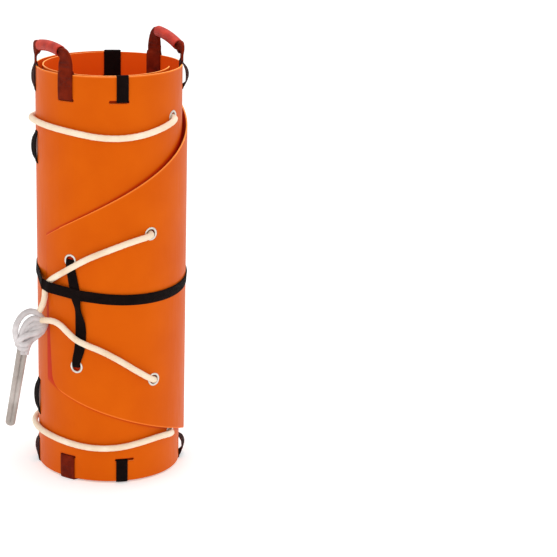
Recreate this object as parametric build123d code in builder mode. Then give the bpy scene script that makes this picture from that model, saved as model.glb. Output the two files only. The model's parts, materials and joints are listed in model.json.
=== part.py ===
"""Roll-up rescue stretcher, rolled and strapped as it is carried.

Millimetres, +Z up. The origin is on the roll's axis, on the floor that the roll stands on.
A bearing is an angle about the axis: 0 is the front (-Y), 90 is the right (+X), 180 the back.
Heights on the sheet are measured from its lower edge, which rests on folded webbing.
"""
from build123d import *
from math import asin, atan, cos, degrees, pi, radians, sin, tan
import os

os.makedirs("parts", exist_ok=True)

# Driving dimensions: the sheet
sheet_width = 920.0          # short side of the flat sheet, upright in the roll
sheet_thick = 3.0
roll_radius = 160.5          # mid-line of the second wrap, the full drum
side_gap = 9.0               # clear space under the flap at the right
flap_gap = 0.7               # clear space under the flap's free end
left_gap = 13.0              # clear space inside the second wrap at the left
front_gap = 7.5              # clear space inside the second wrap at the front
curl = 20.0                  # how much tighter the inner end rolls
curl_start = -10.0           # bearings of the inner end's tight stretch
inner_end = 84.0
flap_end = -58.5             # bearing of the flap's free end
upper_taper_drop = 275.0     # from the upper rim down to the flap's upper edge at bearing 0
upper_taper_slope = 1.584    # millimetres of height for each degree
lower_taper_at_front = 160.5
lower_taper_slope = -1.03
free_end_lean = 0.024        # degrees of bearing for each millimetre of height
upper_corner = 14.0          # corner radii of the flap's free end
lower_corner = 42.0

# Webbing
web_thick = 2.2
web_gap = 0.3                # clearance between webbing and sheet
handle_web = 38.0
cross_web = 26.0
back_web = 38.0
closure_web = 25.0
closure_thick = 2.0
slot_height = 6.5
slot_margin = 4.0            # a slot is this much wider than its webbing
slot_inset = 55.0            # from the rim to a slot

# Handles
grip_length = 94.0
grip_outer = 24.0
grip_bore = 17.0
grip_bow = 4.0               # rise of the grip's middle over its ends
core_height = 14.4           # webbing folded inside the grip
core_thick = 12.2
core_round = 3.0
neck_height = 12.0           # upright handle: from the rim to its hinge line
grip_rise = 46.0             # from the rim to the grip's ends
fold_depth = 11.0            # hidden handle: the fold under the rim, inwards
gather_height = 27.0         # over this height the webbing gathers into the grip
leg_pull = 0.62              # how straight the webbing leaves its leg, and enters its grip
grip_pull = 0.55
lift_start = 0.2             # share of the gathered stretch before a lying handle lifts to its grip
hinge_gap = 0.4
neck_web = handle_web - 2.0   # the sewn neck is a little narrower
flat_neck = 3.0              # the neck's last stretch below the hinge line has no twist

# Eyelets
eyelet_bore = 20.0
eyelet_flange = 30.0
eyelet_wall = 0.9
eyelet_lip = 1.5
eyelet_gap = 0.1

# Rope
rope = 14.0
knot_thick = 28.0
knot_plane = -100.0          # the knot hangs in this plane, beside the roll
tail_width = 27.0

# Cam buckle on the closure strap, at the back
buckle_bearing = 222.0
buckle_length = 34.0
buckle_width = 31.0
plate = 1.5                  # thickness of its steel
buckle_gap = 0.3             # clearance between the buckle and webbing
cheek_length = 20.0
cheek_height = 13.0
cheek_slant = 3.0            # how much each end of a cheek leans in
cheek_corner = 5.0
cheek_margin = 1.0           # clearance between a cheek and the strap's edge
pin_width = 4.0
pin_head = 6.4
pin_play = 0.3
pin_height = 9.0             # above the closure strap's outer face
cam_radius = 3.9             # the lever's hub, and the reach of its nose to the webbing below
cam_nose = 4.7
lever_length = 27.0
tail_fold = 9.0              # the tail's end is folded and sewn over this length
tail_first = 211.0           # bearings of the strap's free tail
tail_last = 252.0

# Closure strap, level and tilt
closure_height = 451.0
closure_tilt_front = 0.120   # rise for each millimetre towards the back
closure_tilt_side = -0.069   # rise for each millimetre towards the right

# Roll geometry that follows from the driving dimensions
rim_lift = 2 * web_thick
half_sheet = sheet_thick / 2
upper_taper_at_front = sheet_width - upper_taper_drop
top_rim = rim_lift + sheet_width
flap_side = roll_radius + sheet_thick + side_gap
flap_front_radius = (
    roll_radius + sheet_thick + flap_gap - flap_side * sin(radians(flap_end))
) / (1 - sin(radians(flap_end)))
flap_front_centre = flap_side - flap_front_radius
flap_back_radius = (flap_side + roll_radius) / 2
flap_back_centre = flap_side - flap_back_radius
inner_left = roll_radius - sheet_thick - left_gap
drum_back_radius = (roll_radius + inner_left) / 2
drum_back_centre = roll_radius - drum_back_radius
inner_front_radius = roll_radius - sheet_thick - front_gap
inner_front_centre = inner_front_radius - inner_left
curl_radius = inner_front_radius - curl
curl_centre = (
    inner_front_centre + curl * sin(radians(curl_start)),
    -curl * cos(radians(curl_start)),
)

# Each wrap is a chain of arcs: centre x, centre y, radius, first and last bearing
FLAP_ARCS = [
    (flap_front_centre, 0, flap_front_radius, flap_end, 90),
    (flap_back_centre, 0, flap_back_radius, 90, 270),
]
DRUM_ARCS = [
    (0, 0, roll_radius, 270, 450),
    (drum_back_centre, 0, drum_back_radius, 450, 630),
]
INNER_ARCS = [
    (inner_front_centre, 0, inner_front_radius, 630, 720 + curl_start),
    (curl_centre[0], curl_centre[1], curl_radius, 720 + curl_start, 720 + inner_end),
]
DRUM_FRONT = (0.0, roll_radius)
DRUM_BACK = (drum_back_centre, drum_back_radius)
FLAP_FRONT = (flap_front_centre, flap_front_radius)
FLAP_BACK = (flap_back_centre, flap_back_radius)


def on_circle(circle, bearing, height=0.0, offset=0.0):
    """A point on a wrap's mid-line circle, given as (centre x, radius)."""
    centre, radius = circle
    reach = radius + offset
    return Vector(centre + reach * sin(radians(bearing)), -reach * cos(radians(bearing)), height)


def about_axis(bearing, radius, height):
    """A point by bearing and radius about the roll's axis, height above the sheet's lower edge."""
    return on_circle((0.0, radius), bearing, rim_lift + height)


def upright_plane(circle, bearing):
    """The upright plane through a circle's centre: x outwards, y up."""
    turn = radians(bearing)
    return Plane((circle[0], 0, 0), x_dir=(sin(turn), -cos(turn), 0), z_dir=(-cos(turn), -sin(turn), 0))


def tangent_plane(circle, bearing, height=0.0, offset=0.0):
    """The plane that touches a wrap: x along the sheet, y up, z outwards."""
    turn = radians(bearing)
    return Plane(
        on_circle(circle, bearing, height, offset),
        x_dir=(cos(turn), sin(turn), 0),
        z_dir=(sin(turn), -cos(turn), 0),
    )


def save(piece, label):
    """Label a finished piece and write it as its own STEP file."""
    piece.part.label = label
    export_step(piece.part, f"parts/{label}.step")


# Handle legs: wrap, bearing about that wrap's centre, and how far the outer strip bows out
HANDLES = {
    "left": [(DRUM_FRONT, -35.0, 0.8), (DRUM_FRONT, -86.0, 3.5)],
    "right": [(DRUM_BACK, 93.0, 10.5), (DRUM_BACK, 141.5, 2.0)],
}
LEG_NAMES = {"left": ("front", "side"), "right": ("side", "back")}
# How far each upright grip leans along its own line, in degrees
TOP_TILT = {"left": 0.0, "right": 11.0}
# Straps over the rims: wrap, bearing, width, bow, and the rise of the loop over the rim
RIM_STRAPS = {
    "front": (DRUM_FRONT, 10.4, cross_web, 0.5, 0.0),
    "back": (DRUM_BACK, 180.0, back_web, 1.0, 2.0),
}
# Straps along the side: wrap, bearing, height of the lower and the upper slot, and bow
SIDE_STRAPS = {
    "upper": (DRUM_FRONT, -79.0, sheet_width - 214.0, sheet_width - 145.0, 4.0),
    "lower": (DRUM_FRONT, -79.0, 117.0, 198.0, 4.0),
}
# Eyelets: wrap, bearing about its centre, and height
FLAP_EYELETS = {
    "upper_right": (FLAP_FRONT, 30.9, sheet_width - 347.5),
    "upper_left": (FLAP_FRONT, -31.6, sheet_width - 409.0),
    "lower_left": (FLAP_FRONT, -26.7, 269.0),
    "lower_right": (FLAP_FRONT, 34.3, 235.5),
}
RIM_EYELETS = {
    "top_front": (DRUM_FRONT, 59.0, sheet_width - 102.0),
    "bottom_front": (DRUM_FRONT, 59.0, 91.0),
    "top_back": (FLAP_BACK, 237.5, sheet_width - 126.0),
    "bottom_back": (FLAP_BACK, 237.5, 82.5),
}
top_slots = sheet_width - slot_inset
bottom_slots = slot_inset - 5.0
# Slots of the straps over the rims: the front ones are longer than their webbing, which sits at one end
RIM_SLOTS = [
    (DRUM_FRONT, 7.9, top_slots, 40.0),
    (DRUM_FRONT, 12.6, bottom_slots, 40.0),
    (DRUM_BACK, 180.0, top_slots, back_web + slot_margin),
    (DRUM_BACK, 180.0, bottom_slots, back_web + slot_margin),
]


def wrap_section(arcs):
    """Draw the cross-section of one wrap, between its inner and outer faces."""
    for centre_x, centre_y, radius, first, last in arcs:
        for side in (-half_sheet, half_sheet):
            CenterArc((centre_x, centre_y), radius + side, first - 90, last - first)
    for centre_x, centre_y, radius, bearing in (
        arcs[0][:3] + (arcs[0][3],),
        arcs[-1][:3] + (arcs[-1][4],),
    ):
        outward = Vector(sin(radians(bearing)), -cos(radians(bearing)))
        centre = Vector(centre_x, centre_y)
        Line(centre + outward * (radius - half_sheet), centre + outward * (radius + half_sheet))


# The flap: the sheet's outer wrap, cut to a taper along its upper and lower edges
taper_step = 20.0
taper_start = flap_end - 10.0
taper_reach = 120.0
cut_reach = 6.0              # slots and eyelet holes are cut this far to each side of the sheet's mid-line
upper_stop = (sheet_width - upper_taper_at_front) / upper_taper_slope + 8.0
lower_stop = -lower_taper_at_front / lower_taper_slope + 14.0
corner_bearing = flap_end + 6.0
free_end_reach = 130.0       # the block that trims the free end, around the flap's outline
free_end_margin = 60.0
free_end_depth = 20.0


def free_end_bearing(height):
    """The free end leans, because the sheet is rolled a little askew."""
    highest = upper_taper_at_front + upper_taper_slope * flap_end
    return flap_end + free_end_lean * (highest - height)


def across(bearing, height):
    """A point of the flap seen square on, in the tangent plane at the corner bearing."""
    return (flap_front_radius * sin(radians(bearing - corner_bearing)), rim_lift + height)


with BuildPart() as flap:
    with BuildSketch(Plane.XY.offset(rim_lift)):
        with BuildLine():
            wrap_section(FLAP_ARCS)
        make_face()
    extrude(amount=sheet_width)
    for start, stop, level, slope, beyond in (
        (taper_start, upper_stop, upper_taper_at_front, upper_taper_slope, sheet_width + 60),
        (taper_start, lower_stop, lower_taper_at_front, lower_taper_slope, -60),
    ):
        count = round((stop - start) / taper_step)
        for number in range(count + 1):
            bearing = start + (stop - start) * number / count
            edge = level + slope * bearing
            with BuildSketch(upright_plane((0.0, 0.0), bearing)):
                with Locations((flap_side, rim_lift + (edge + beyond) / 2)):
                    Rectangle(taper_reach, abs(beyond - edge))
        loft(mode=Mode.SUBTRACT)
    low_bearing = -50.0
    far_bearing = -25.0
    low_height = lower_taper_at_front + lower_taper_slope * low_bearing
    high_height = upper_taper_at_front + upper_taper_slope * flap_end
    with BuildSketch(tangent_plane(FLAP_FRONT, corner_bearing)) as free_end:
        with Locations((-free_end_reach / 4, sheet_width / 2)):
            Rectangle(free_end_reach, sheet_width + free_end_margin)
        with BuildLine():
            corners = [
                across(far_bearing, upper_taper_at_front + upper_taper_slope * far_bearing),
                across(flap_end, high_height),
                across(free_end_bearing(low_height), low_height),
                across(far_bearing, lower_taper_at_front + lower_taper_slope * far_bearing),
            ]
            FilletPolyline(corners, radius=[upper_corner, lower_corner])
            beyond = max(corners[0][0], corners[-1][0]) + free_end_margin
            Line(corners[-1], (beyond, corners[-1][1]))
            Line((beyond, corners[-1][1]), (beyond, corners[0][1]))
            Line((beyond, corners[0][1]), corners[0])
        make_face(mode=Mode.SUBTRACT)
    extrude(amount=free_end_depth, both=True, mode=Mode.SUBTRACT)
    for circle, bearing, height in list(FLAP_EYELETS.values()) + [
        RIM_EYELETS["top_back"],
        RIM_EYELETS["bottom_back"],
    ]:
        with BuildSketch(tangent_plane(circle, bearing, rim_lift + height)):
            Circle(eyelet_bore / 2 + eyelet_wall + eyelet_gap)
        extrude(amount=cut_reach, both=True, mode=Mode.SUBTRACT)

# Every slot that webbing passes through
slots = []
for legs in HANDLES.values():
    for circle, bearing, bow in legs:
        slots.append((circle, bearing, top_slots, handle_web))
        slots.append((circle, bearing, bottom_slots, handle_web))
for circle, bearing, height, width in RIM_SLOTS:
    slots.append((circle, bearing, height, width))
for circle, bearing, low, high, bow in SIDE_STRAPS.values():
    slots.append((circle, bearing, low, cross_web))
    slots.append((circle, bearing, high, cross_web))

# The drum: the second wrap
with BuildPart() as drum:
    with BuildSketch(Plane.XY.offset(rim_lift)):
        with BuildLine():
            wrap_section(DRUM_ARCS)
        make_face()
    extrude(amount=sheet_width)
    for name in ("top_front", "bottom_front"):
        circle, bearing, height = RIM_EYELETS[name]
        with BuildSketch(tangent_plane(circle, bearing, rim_lift + height)):
            Circle(eyelet_bore / 2 + eyelet_wall + eyelet_gap)
        extrude(amount=cut_reach, both=True, mode=Mode.SUBTRACT)

with BuildPart() as inner_wrap:
    with BuildSketch(Plane.XY.offset(rim_lift)):
        with BuildLine():
            wrap_section(INNER_ARCS)
        make_face()
    extrude(amount=sheet_width)

with BuildPart() as stretcher_sheet:
    add(flap.part)
    add(drum.part)
    add(inner_wrap.part)
    for circle, bearing, height, width in slots:
        with BuildSketch(tangent_plane(circle, bearing, rim_lift + height)):
            SlotOverall(width + slot_margin, slot_height)
        extrude(amount=cut_reach, both=True, mode=Mode.SUBTRACT)
save(stretcher_sheet, "stretcher_sheet")
arcs = FLAP_ARCS + DRUM_ARCS + INNER_ARCS
flat_length = sum(radius * radians(last - first) for _, _, radius, first, last in arcs)
print(f"sheet laid flat: {flat_length:.0f} by {sheet_width:.0f} mm")


def eyelet(label, circle, bearing, height):
    """A rolled eyelet: a barrel through the sheet and two flanges bent to the sheet's curve."""
    bore = eyelet_bore / 2
    barrel = bore + eyelet_wall
    flange = eyelet_flange / 2
    sag = flange**2 / (2 * circle[1]) + 0.2
    face = half_sheet + eyelet_lip
    plane = tangent_plane(circle, bearing, rim_lift + height)
    section = Plane(plane.origin, x_dir=plane.x_dir, z_dir=-plane.y_dir)
    with BuildPart() as ring:
        with BuildSketch(section):
            with Locations((bore, -face - sag)):
                Rectangle(flange - bore, 2 * (face + sag), align=(Align.MIN, Align.MIN))
        revolve(axis=Axis(plane.origin, plane.z_dir))
        with BuildSketch(Plane((circle[0], 0, 0))):
            Circle(circle[1] + face)
            Circle(circle[1] - face, mode=Mode.SUBTRACT)
        extrude(amount=top_rim, mode=Mode.INTERSECT)
        with BuildSketch(Plane((circle[0], 0, 0))):
            Circle(circle[1] + half_sheet + eyelet_gap / 2)
            Circle(circle[1] - half_sheet - eyelet_gap / 2, mode=Mode.SUBTRACT)
        extrude(amount=top_rim, mode=Mode.SUBTRACT)
        with BuildSketch(section):
            with Locations((bore, -face)):
                Rectangle(eyelet_wall, 2 * face, align=(Align.MIN, Align.MIN))
        revolve(axis=Axis(plane.origin, plane.z_dir))
    save(ring, label)


for name, (circle, bearing, height) in FLAP_EYELETS.items():
    eyelet(f"flap_eyelet_{name}", circle, bearing, height)
for name, (circle, bearing, height) in RIM_EYELETS.items():
    eyelet(f"rim_eyelet_{name}", circle, bearing, height)

# Webbing loops
strip_inside = half_sheet + web_gap
strip_outside = strip_inside + web_thick


def around(circle, width):
    """The angle that a width takes on a wrap, in degrees."""
    return degrees(width / circle[1])


def webbing_loop(circle, bearing, width, outer_points, inner_points):
    """A loop of webbing round the sheet. Its points are given outwards from the sheet's mid-line, and up."""
    angle = around(circle, width)
    with BuildPart() as loop:
        with BuildSketch(upright_plane(circle, bearing - angle / 2)):
            with BuildLine():
                FilletPolyline([(circle[1] + out, up) for out, up in outer_points], radius=0.9, close=True)
            make_face()
            with BuildLine():
                FilletPolyline([(circle[1] + out, up) for out, up in inner_points], radius=0.1, close=True)
            make_face(mode=Mode.SUBTRACT)
        revolve(axis=Axis((circle[0], 0, 0), (0, 0, 1)), revolution_arc=angle)
    return loop.part


def chord_of(legs):
    """The straight line between a handle's two legs: its middle, its direction and inwards."""
    first, second = (on_circle(circle, bearing) for circle, bearing, bow in legs)
    direction = (second - first).normalized()
    inward = Vector(-direction.Y, direction.X, 0)
    middle = (first + second) / 2
    if inward.dot(middle) > 0:
        direction = direction * -1
        inward = inward * -1
    return middle, direction, inward, (second - first).length


def along_sheet(bearing, direction):
    """The level direction along the sheet at a bearing, on the side that a given direction points to."""
    along = Vector(cos(radians(bearing)), sin(radians(bearing)), 0)
    return along if along.dot(direction) > 0 else along * -1


def upright_leg(label, legs, number):
    """A webbing loop through its slot and over the rim, twisted to the handle's own line."""
    circle, bearing, bow = legs[number]
    direction = chord_of(legs)[1]
    slot = rim_lift + top_slots
    half_way = (slot + top_rim) / 2
    shoulder = top_rim + 3
    neck = top_rim + 5.5
    outer_points = [
        (-strip_outside, slot - web_thick / 2),
        (strip_outside, slot - web_thick / 2),
        (strip_outside + bow, half_way),
        (strip_outside, top_rim),
        (web_thick, neck),
        (-web_thick, neck),
        (-strip_outside, top_rim),
    ]
    inner_points = [
        (-strip_inside, slot + web_thick / 2),
        (strip_inside, slot + web_thick / 2),
        (strip_inside + bow, half_way),
        (strip_inside, top_rim + 0.3),
        (0.3, shoulder),
        (-0.3, shoulder),
        (-strip_inside, top_rim + 0.3),
    ]
    hinge = top_rim + neck_height
    along = along_sheet(bearing, direction)
    loop = webbing_loop(circle, bearing, handle_web, outer_points, inner_points)
    with BuildPart() as leg:
        add(loop)
        low = Plane(on_circle(circle, bearing, neck - 1.5), x_dir=along, z_dir=(0, 0, 1))
        high = Plane(on_circle(circle, bearing, hinge - flat_neck), x_dir=direction, z_dir=(0, 0, 1))
        with BuildSketch(low):
            Rectangle(handle_web - 1, 2 * web_thick - 0.4)
        with BuildSketch(high):
            Rectangle(neck_web, 2 * web_thick)
        loft()
        with BuildSketch(high):
            Rectangle(neck_web, 2 * web_thick)
        extrude(amount=flat_neck)
        end = Plane(on_circle(circle, bearing, hinge) - direction * (neck_web / 2), z_dir=direction)
        with BuildSketch(end):
            Circle(web_thick)
        extrude(amount=neck_web)
    save(leg, label)


def folded_leg(label, legs, number):
    """A webbing loop through its slot and under the rim, folded flat beneath it."""
    circle, bearing, bow = legs[number]
    direction, inward = chord_of(legs)[1:3]
    slot = rim_lift + bottom_slots
    half_way = (slot + rim_lift) / 2
    outer_points = [
        (-strip_outside, 0),
        (strip_outside, 0),
        (strip_outside + bow, half_way),
        (strip_outside, slot + web_thick / 2),
        (-strip_outside, slot + web_thick / 2),
    ]
    inner_points = [
        (-strip_inside, rim_lift),
        (strip_inside, rim_lift),
        (strip_inside + bow, half_way),
        (strip_inside, slot - web_thick / 2),
        (-strip_inside, slot - web_thick / 2),
    ]
    along = along_sheet(bearing, direction)
    centre = on_circle(circle, bearing)
    hinge = centre + inward * fold_depth
    loop = webbing_loop(circle, bearing, handle_web, outer_points, inner_points)
    with BuildPart() as leg:
        add(loop)
        half = neck_web / 2
        with BuildSketch():
            with BuildLine():
                Polyline(
                    centre - along * half,
                    centre + along * half,
                    hinge + direction * half,
                    hinge - direction * half,
                    close=True,
                )
            make_face()
        extrude(amount=2 * web_thick)
        with BuildSketch(Plane(hinge - direction * half + Vector(0, 0, web_thick), z_dir=direction)):
            Circle(web_thick)
        extrude(amount=2 * half)
    save(leg, label)


for side, legs in HANDLES.items():
    for number, place in enumerate(LEG_NAMES[side]):
        upright_leg(f"leg_top_{side}_{place}", legs, number)
        folded_leg(f"leg_bottom_{side}_{place}", legs, number)


def strap_loop(label, circle, bearing, width, low, high, bow):
    """A loop of webbing between two levels, around or through the sheet."""
    half_way = (low + high) / 2
    outer_points = [
        (-strip_outside, low - web_thick / 2),
        (strip_outside, low - web_thick / 2),
        (strip_outside + bow, half_way),
        (strip_outside, high + web_thick / 2),
        (-strip_outside, high + web_thick / 2),
    ]
    inner_points = [
        (-strip_inside, low + web_thick / 2),
        (strip_inside, low + web_thick / 2),
        (strip_inside + bow, half_way),
        (strip_inside, high - web_thick / 2),
        (-strip_inside, high - web_thick / 2),
    ]
    with BuildPart() as strap:
        add(webbing_loop(circle, bearing, width, outer_points, inner_points))
    save(strap, label)


for name, (circle, bearing, width, bow, rise) in RIM_STRAPS.items():
    over = top_rim + web_gap + web_thick / 2 + rise
    under = rim_lift - web_thick / 2
    strap_loop(f"cross_strap_{name}_top", circle, bearing, width, rim_lift + top_slots, over, bow)
    strap_loop(f"cross_strap_{name}_bottom", circle, bearing, width, under, rim_lift + bottom_slots, bow)
for name, (circle, bearing, low, high, bow) in SIDE_STRAPS.items():
    strap_loop(f"side_strap_{name}", circle, bearing, cross_web, rim_lift + low, rim_lift + high, bow)


def handle(label, plane, span, rise, lift, tilt=0.0):
    """A handle in its own plane: x along the grip, y from the hinge line to the grip."""
    half_grip = grip_length / 2
    lean = 2 * atan(2 * grip_bow / grip_length)
    gather_start = rise - gather_height

    def place(along, up, out=0.0):
        return plane.from_local_coords(Vector(along, up, out))

    def facing(along, up, out=0.0):
        return place(along, up, out) - place(0, 0, 0)

    half_grip_up = half_grip * sin(radians(tilt))
    half_grip_along = half_grip * cos(radians(tilt))
    crown = (-grip_bow * sin(radians(tilt)), rise + grip_bow * cos(radians(tilt)))
    arch_points = [
        place(-half_grip_along, rise - half_grip_up, lift),
        place(*crown, lift),
        place(half_grip_along, rise + half_grip_up, lift),
    ]
    with BuildPart() as grip:
        with BuildLine():
            spine = ThreePointArc(*arch_points)
        with BuildSketch(Plane(spine @ 0, x_dir=plane.z_dir, z_dir=spine % 0)):
            Circle(grip_outer / 2)
            Circle(grip_bore / 2, mode=Mode.SUBTRACT)
        sweep()
        ends = grip.faces().sort_by(Axis(plane.origin, plane.x_dir))
        chamfer(ends[0].edges() + ends[-1].edges(), 0.9)
    save(grip, f"grip_{label}")

    with BuildPart() as webbing:
        with BuildLine():
            core_line = ThreePointArc(*arch_points)
        with BuildSketch(Plane(core_line @ 0, x_dir=plane.z_dir, z_dir=core_line % 0)):
            RectangleRounded(core_thick, core_height, core_round)
        sweep()
        for side in (-1, 1):
            start = Vector(side * span / 2, gather_start)
            stop = Vector(side * half_grip_along, rise + side * half_grip_up)
            first_pull = start + Vector(0, leg_pull * gather_height)
            arrive = Vector(side * cos(lean), -sin(lean)).rotate(Axis.Z, tilt)
            last_pull = stop + arrive * (grip_pull * (span / 2 - half_grip) + 3)
            steps = (0.0, 0.2, 0.36, 0.52, 0.68, 0.84, 1.0)
            for step in steps:
                back = 1 - step
                spot = (
                    start * back**3
                    + first_pull * (3 * back**2 * step)
                    + last_pull * (3 * back * step**2)
                    + stop * step**3
                )
                heading = (
                    (first_pull - start) * back**2
                    + (last_pull - first_pull) * (2 * back * step)
                    + (stop - last_pull) * step**2
                ).normalized()
                late = max(0.0, (step - lift_start) / (1 - lift_start))
                deep = 2 * web_thick + (core_thick - 2 * web_thick) * step
                resting = deep / 2 - web_thick if lift else 0.0
                out = resting + (lift - resting) * late * late * (3 - 2 * late)
                sideways = facing(heading.Y, -heading.X)
                section = Plane(place(spot.X, spot.Y, out), x_dir=sideways, z_dir=facing(heading.X, heading.Y))
                broad = neck_web + (core_height - neck_web) * step
                with BuildSketch(section):
                    RectangleRounded(broad, deep, core_round * deep / core_thick)
            loft(ruled=True)
            foot = Plane(place(side * span / 2, gather_start), x_dir=plane.x_dir, z_dir=-plane.y_dir)
            with BuildSketch(foot):
                RectangleRounded(neck_web, 2 * web_thick, core_round * 2 * web_thick / core_thick)
            extrude(amount=gather_start - web_thick - hinge_gap)
    save(webbing, f"handle_webbing_{label}")


for side, legs in HANDLES.items():
    middle, direction, inward, span = chord_of(legs)
    hinge_up = middle + Vector(0, 0, top_rim + neck_height)
    upright = Plane(hinge_up, x_dir=direction, z_dir=direction.cross(Vector(0, 0, 1)))
    handle(f"top_{side}", upright, span, grip_rise - neck_height, 0.0, TOP_TILT[side])
    hinge_low = middle + inward * fold_depth + Vector(0, 0, web_thick)
    lying = Plane(hinge_low, x_dir=direction, z_dir=(0, 0, 1))
    handle(f"bottom_{side}", lying, span, grip_rise, grip_outer / 2 - web_thick)
    print(f"hinge top_{side}", [round(value / 1000, 5) for value in hinge_up], [round(v, 5) for v in direction])
    print(f"hinge bottom_{side}", [round(value / 1000, 5) for value in hinge_low], [round(v, 5) for v in direction])


def rope_route(points):
    """Corners of a rope's route, from bearing, radius and height about the roll."""
    return [about_axis(*point) for point in points]


def rope_tube(label, route):
    """A rope as straight runs joined by arcs, each as large as its runs allow."""
    radii = []
    for before, corner, after in zip(route, route[1:], route[2:]):
        turn = (corner - before).get_angle(after - corner)
        shorter = min((corner - before).length, (after - corner).length)
        radii.append(0.45 * shorter / tan(radians(turn / 2)))
    with BuildPart() as tube:
        with BuildLine():
            line = FilletPolyline(route, radius=radii)
        with BuildSketch(Plane(line @ 0, z_dir=line % 0)):
            Circle(rope / 2)
        sweep()
    length = line.length
    share = tube.part.volume / (pi * (rope / 2) ** 2 * length)
    print(f"{label}: {length:.0f} mm, smallest bend {min(radii):.0f} mm, volume share {share:.4f}")
    print("    bends", [round(radius) for radius in radii])
    save(tube, label)


# The upper edge rope's route: bearing, radius about the axis, and how far below the sheet's upper edge
upper_edge_drops = [
    (59, 146, 102), (59, 163.5, 102), (56, 173.2, 104.5), (50, 174, 111), (40, 172, 119.5), (25, 171.7, 128.5),
    (9, 171.8, 132.5), (-7, 171.6, 130.5), (-22, 171.8, 124), (-38, 171.6, 119), (-54, 171.8, 116),
    (-69, 171.6, 115), (-84, 171.8, 117), (-97, 171.9, 121), (-108, 172.6, 124), (-116, 174.4, 125.5),
    (-121.5, 172.5, 126), (-123.5, 163, 126), (-123.6, 148.5, 126),
]
upper_edge_route = [(bearing, radius, sheet_width - drop) for bearing, radius, drop in upper_edge_drops]
# The other routes: bearing, radius about the axis, height above the sheet's lower edge
lower_edge_route = [
    (59, 146, 91), (59, 163.5, 91), (56, 173.2, 91.5), (50, 174, 93.5), (42, 172, 95), (26, 171.7, 91),
    (9, 171.8, 83.5), (-7, 171.6, 81), (-22, 171.8, 83), (-39, 171.6, 87.5), (-57, 171.8, 90.5),
    (-72, 171.6, 90.5), (-87, 171.8, 88.5), (-99, 171.9, 86), (-109, 172.6, 84), (-116, 174.4, 83),
    (-121.5, 172.5, 82.5), (-123.5, 163, 82.5), (-123.6, 148.5, 82.5),
]
tow_upper_route = [
    (32.3, 162.9, 572.5), (32.3, 174.4, 572.5), (29.2, 183.1, 571.3), (24.2, 182.6, 567.5), (14.5, 180, 560),
    (1, 178.6, 544.5), (-13.5, 178.2, 525.5), (-25, 178.6, 504), (-36, 177, 482), (-46, 174.6, 463),
    (-52.5, 173.5, 446.5), (-54.8, 173.3, 430), (-54.6, 174.4, 415), (-55, 177.5, 401), (-56.5, 181, 388),
    (-58.5, 184, 377),
]
tow_lower_route = [
    (-57.5, 183.5, 361), (-51, 180.5, 364.5), (-44, 178.5, 368.5), (-37, 178.2, 364), (-30.5, 179.6, 350),
    (-24, 180.6, 336), (-16, 180, 326), (-5, 178.8, 314), (8, 178.8, 291), (20, 180.2, 265), (28, 182.8, 248),
    (32.6, 183.3, 239.5), (35.65, 174.6, 235.6), (35.7, 163.1, 235.5),
]
rope_tube("upper_edge_rope", rope_route(upper_edge_route))
rope_tube("lower_edge_rope", rope_route(lower_edge_route))
rope_tube("tow_rope_upper", rope_route(tow_upper_route))
rope_tube("tow_rope_lower", rope_route(tow_lower_route))

# The knot: a loose overhand loop, as one closed form with its eye, and the doubled tail below it
knot_outline = [
    (-186, 388), (-207, 372), (-218, 336), (-208, 286), (-181, 283), (-160, 310), (-146, 344),
    (-146, 376), (-164, 386),
]
knot_rounding = [15, 20, 24, 12, 12, 20, 16, 12, 14]
tail_top = (-194.0, 300.0)
tail_end = (-222.0, 120.0)
with BuildPart() as rope_knot:
    facing_front = Plane((0, knot_plane, rim_lift), x_dir=(1, 0, 0), z_dir=(0, -1, 0))
    with BuildSketch(facing_front):
        with BuildLine():
            FilletPolyline(knot_outline, radius=knot_rounding, close=True)
        make_face()
        with Locations(Location((-189, 351, 0), (0, 0, 51))):
            SlotOverall(50, 9, mode=Mode.SUBTRACT)
    extrude(amount=knot_thick / 2, both=True)
    outer_edges = rope_knot.faces().filter_by(Axis.Y).edges()
    chamfer(outer_edges, 3.5)
save(rope_knot, "rope_knot")

tail_run = Vector(*tail_end) - Vector(*tail_top)
tail_angle = degrees(asin(tail_run.X / tail_run.length))
with BuildPart() as rope_tail:
    middle = (Vector(*tail_end) + Vector(*tail_top)) / 2
    with BuildSketch(facing_front):
        with Locations(Location((middle.X, middle.Y, 0), (0, 0, 90 + tail_angle))):
            SlotOverall(tail_run.length + tail_width, tail_width)
    extrude(amount=rope / 2, both=True)
    chamfer(rope_tail.faces().filter_by(Axis.Y).edges(), rope * 0.3)
save(rope_tail, "rope_tail")

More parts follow.
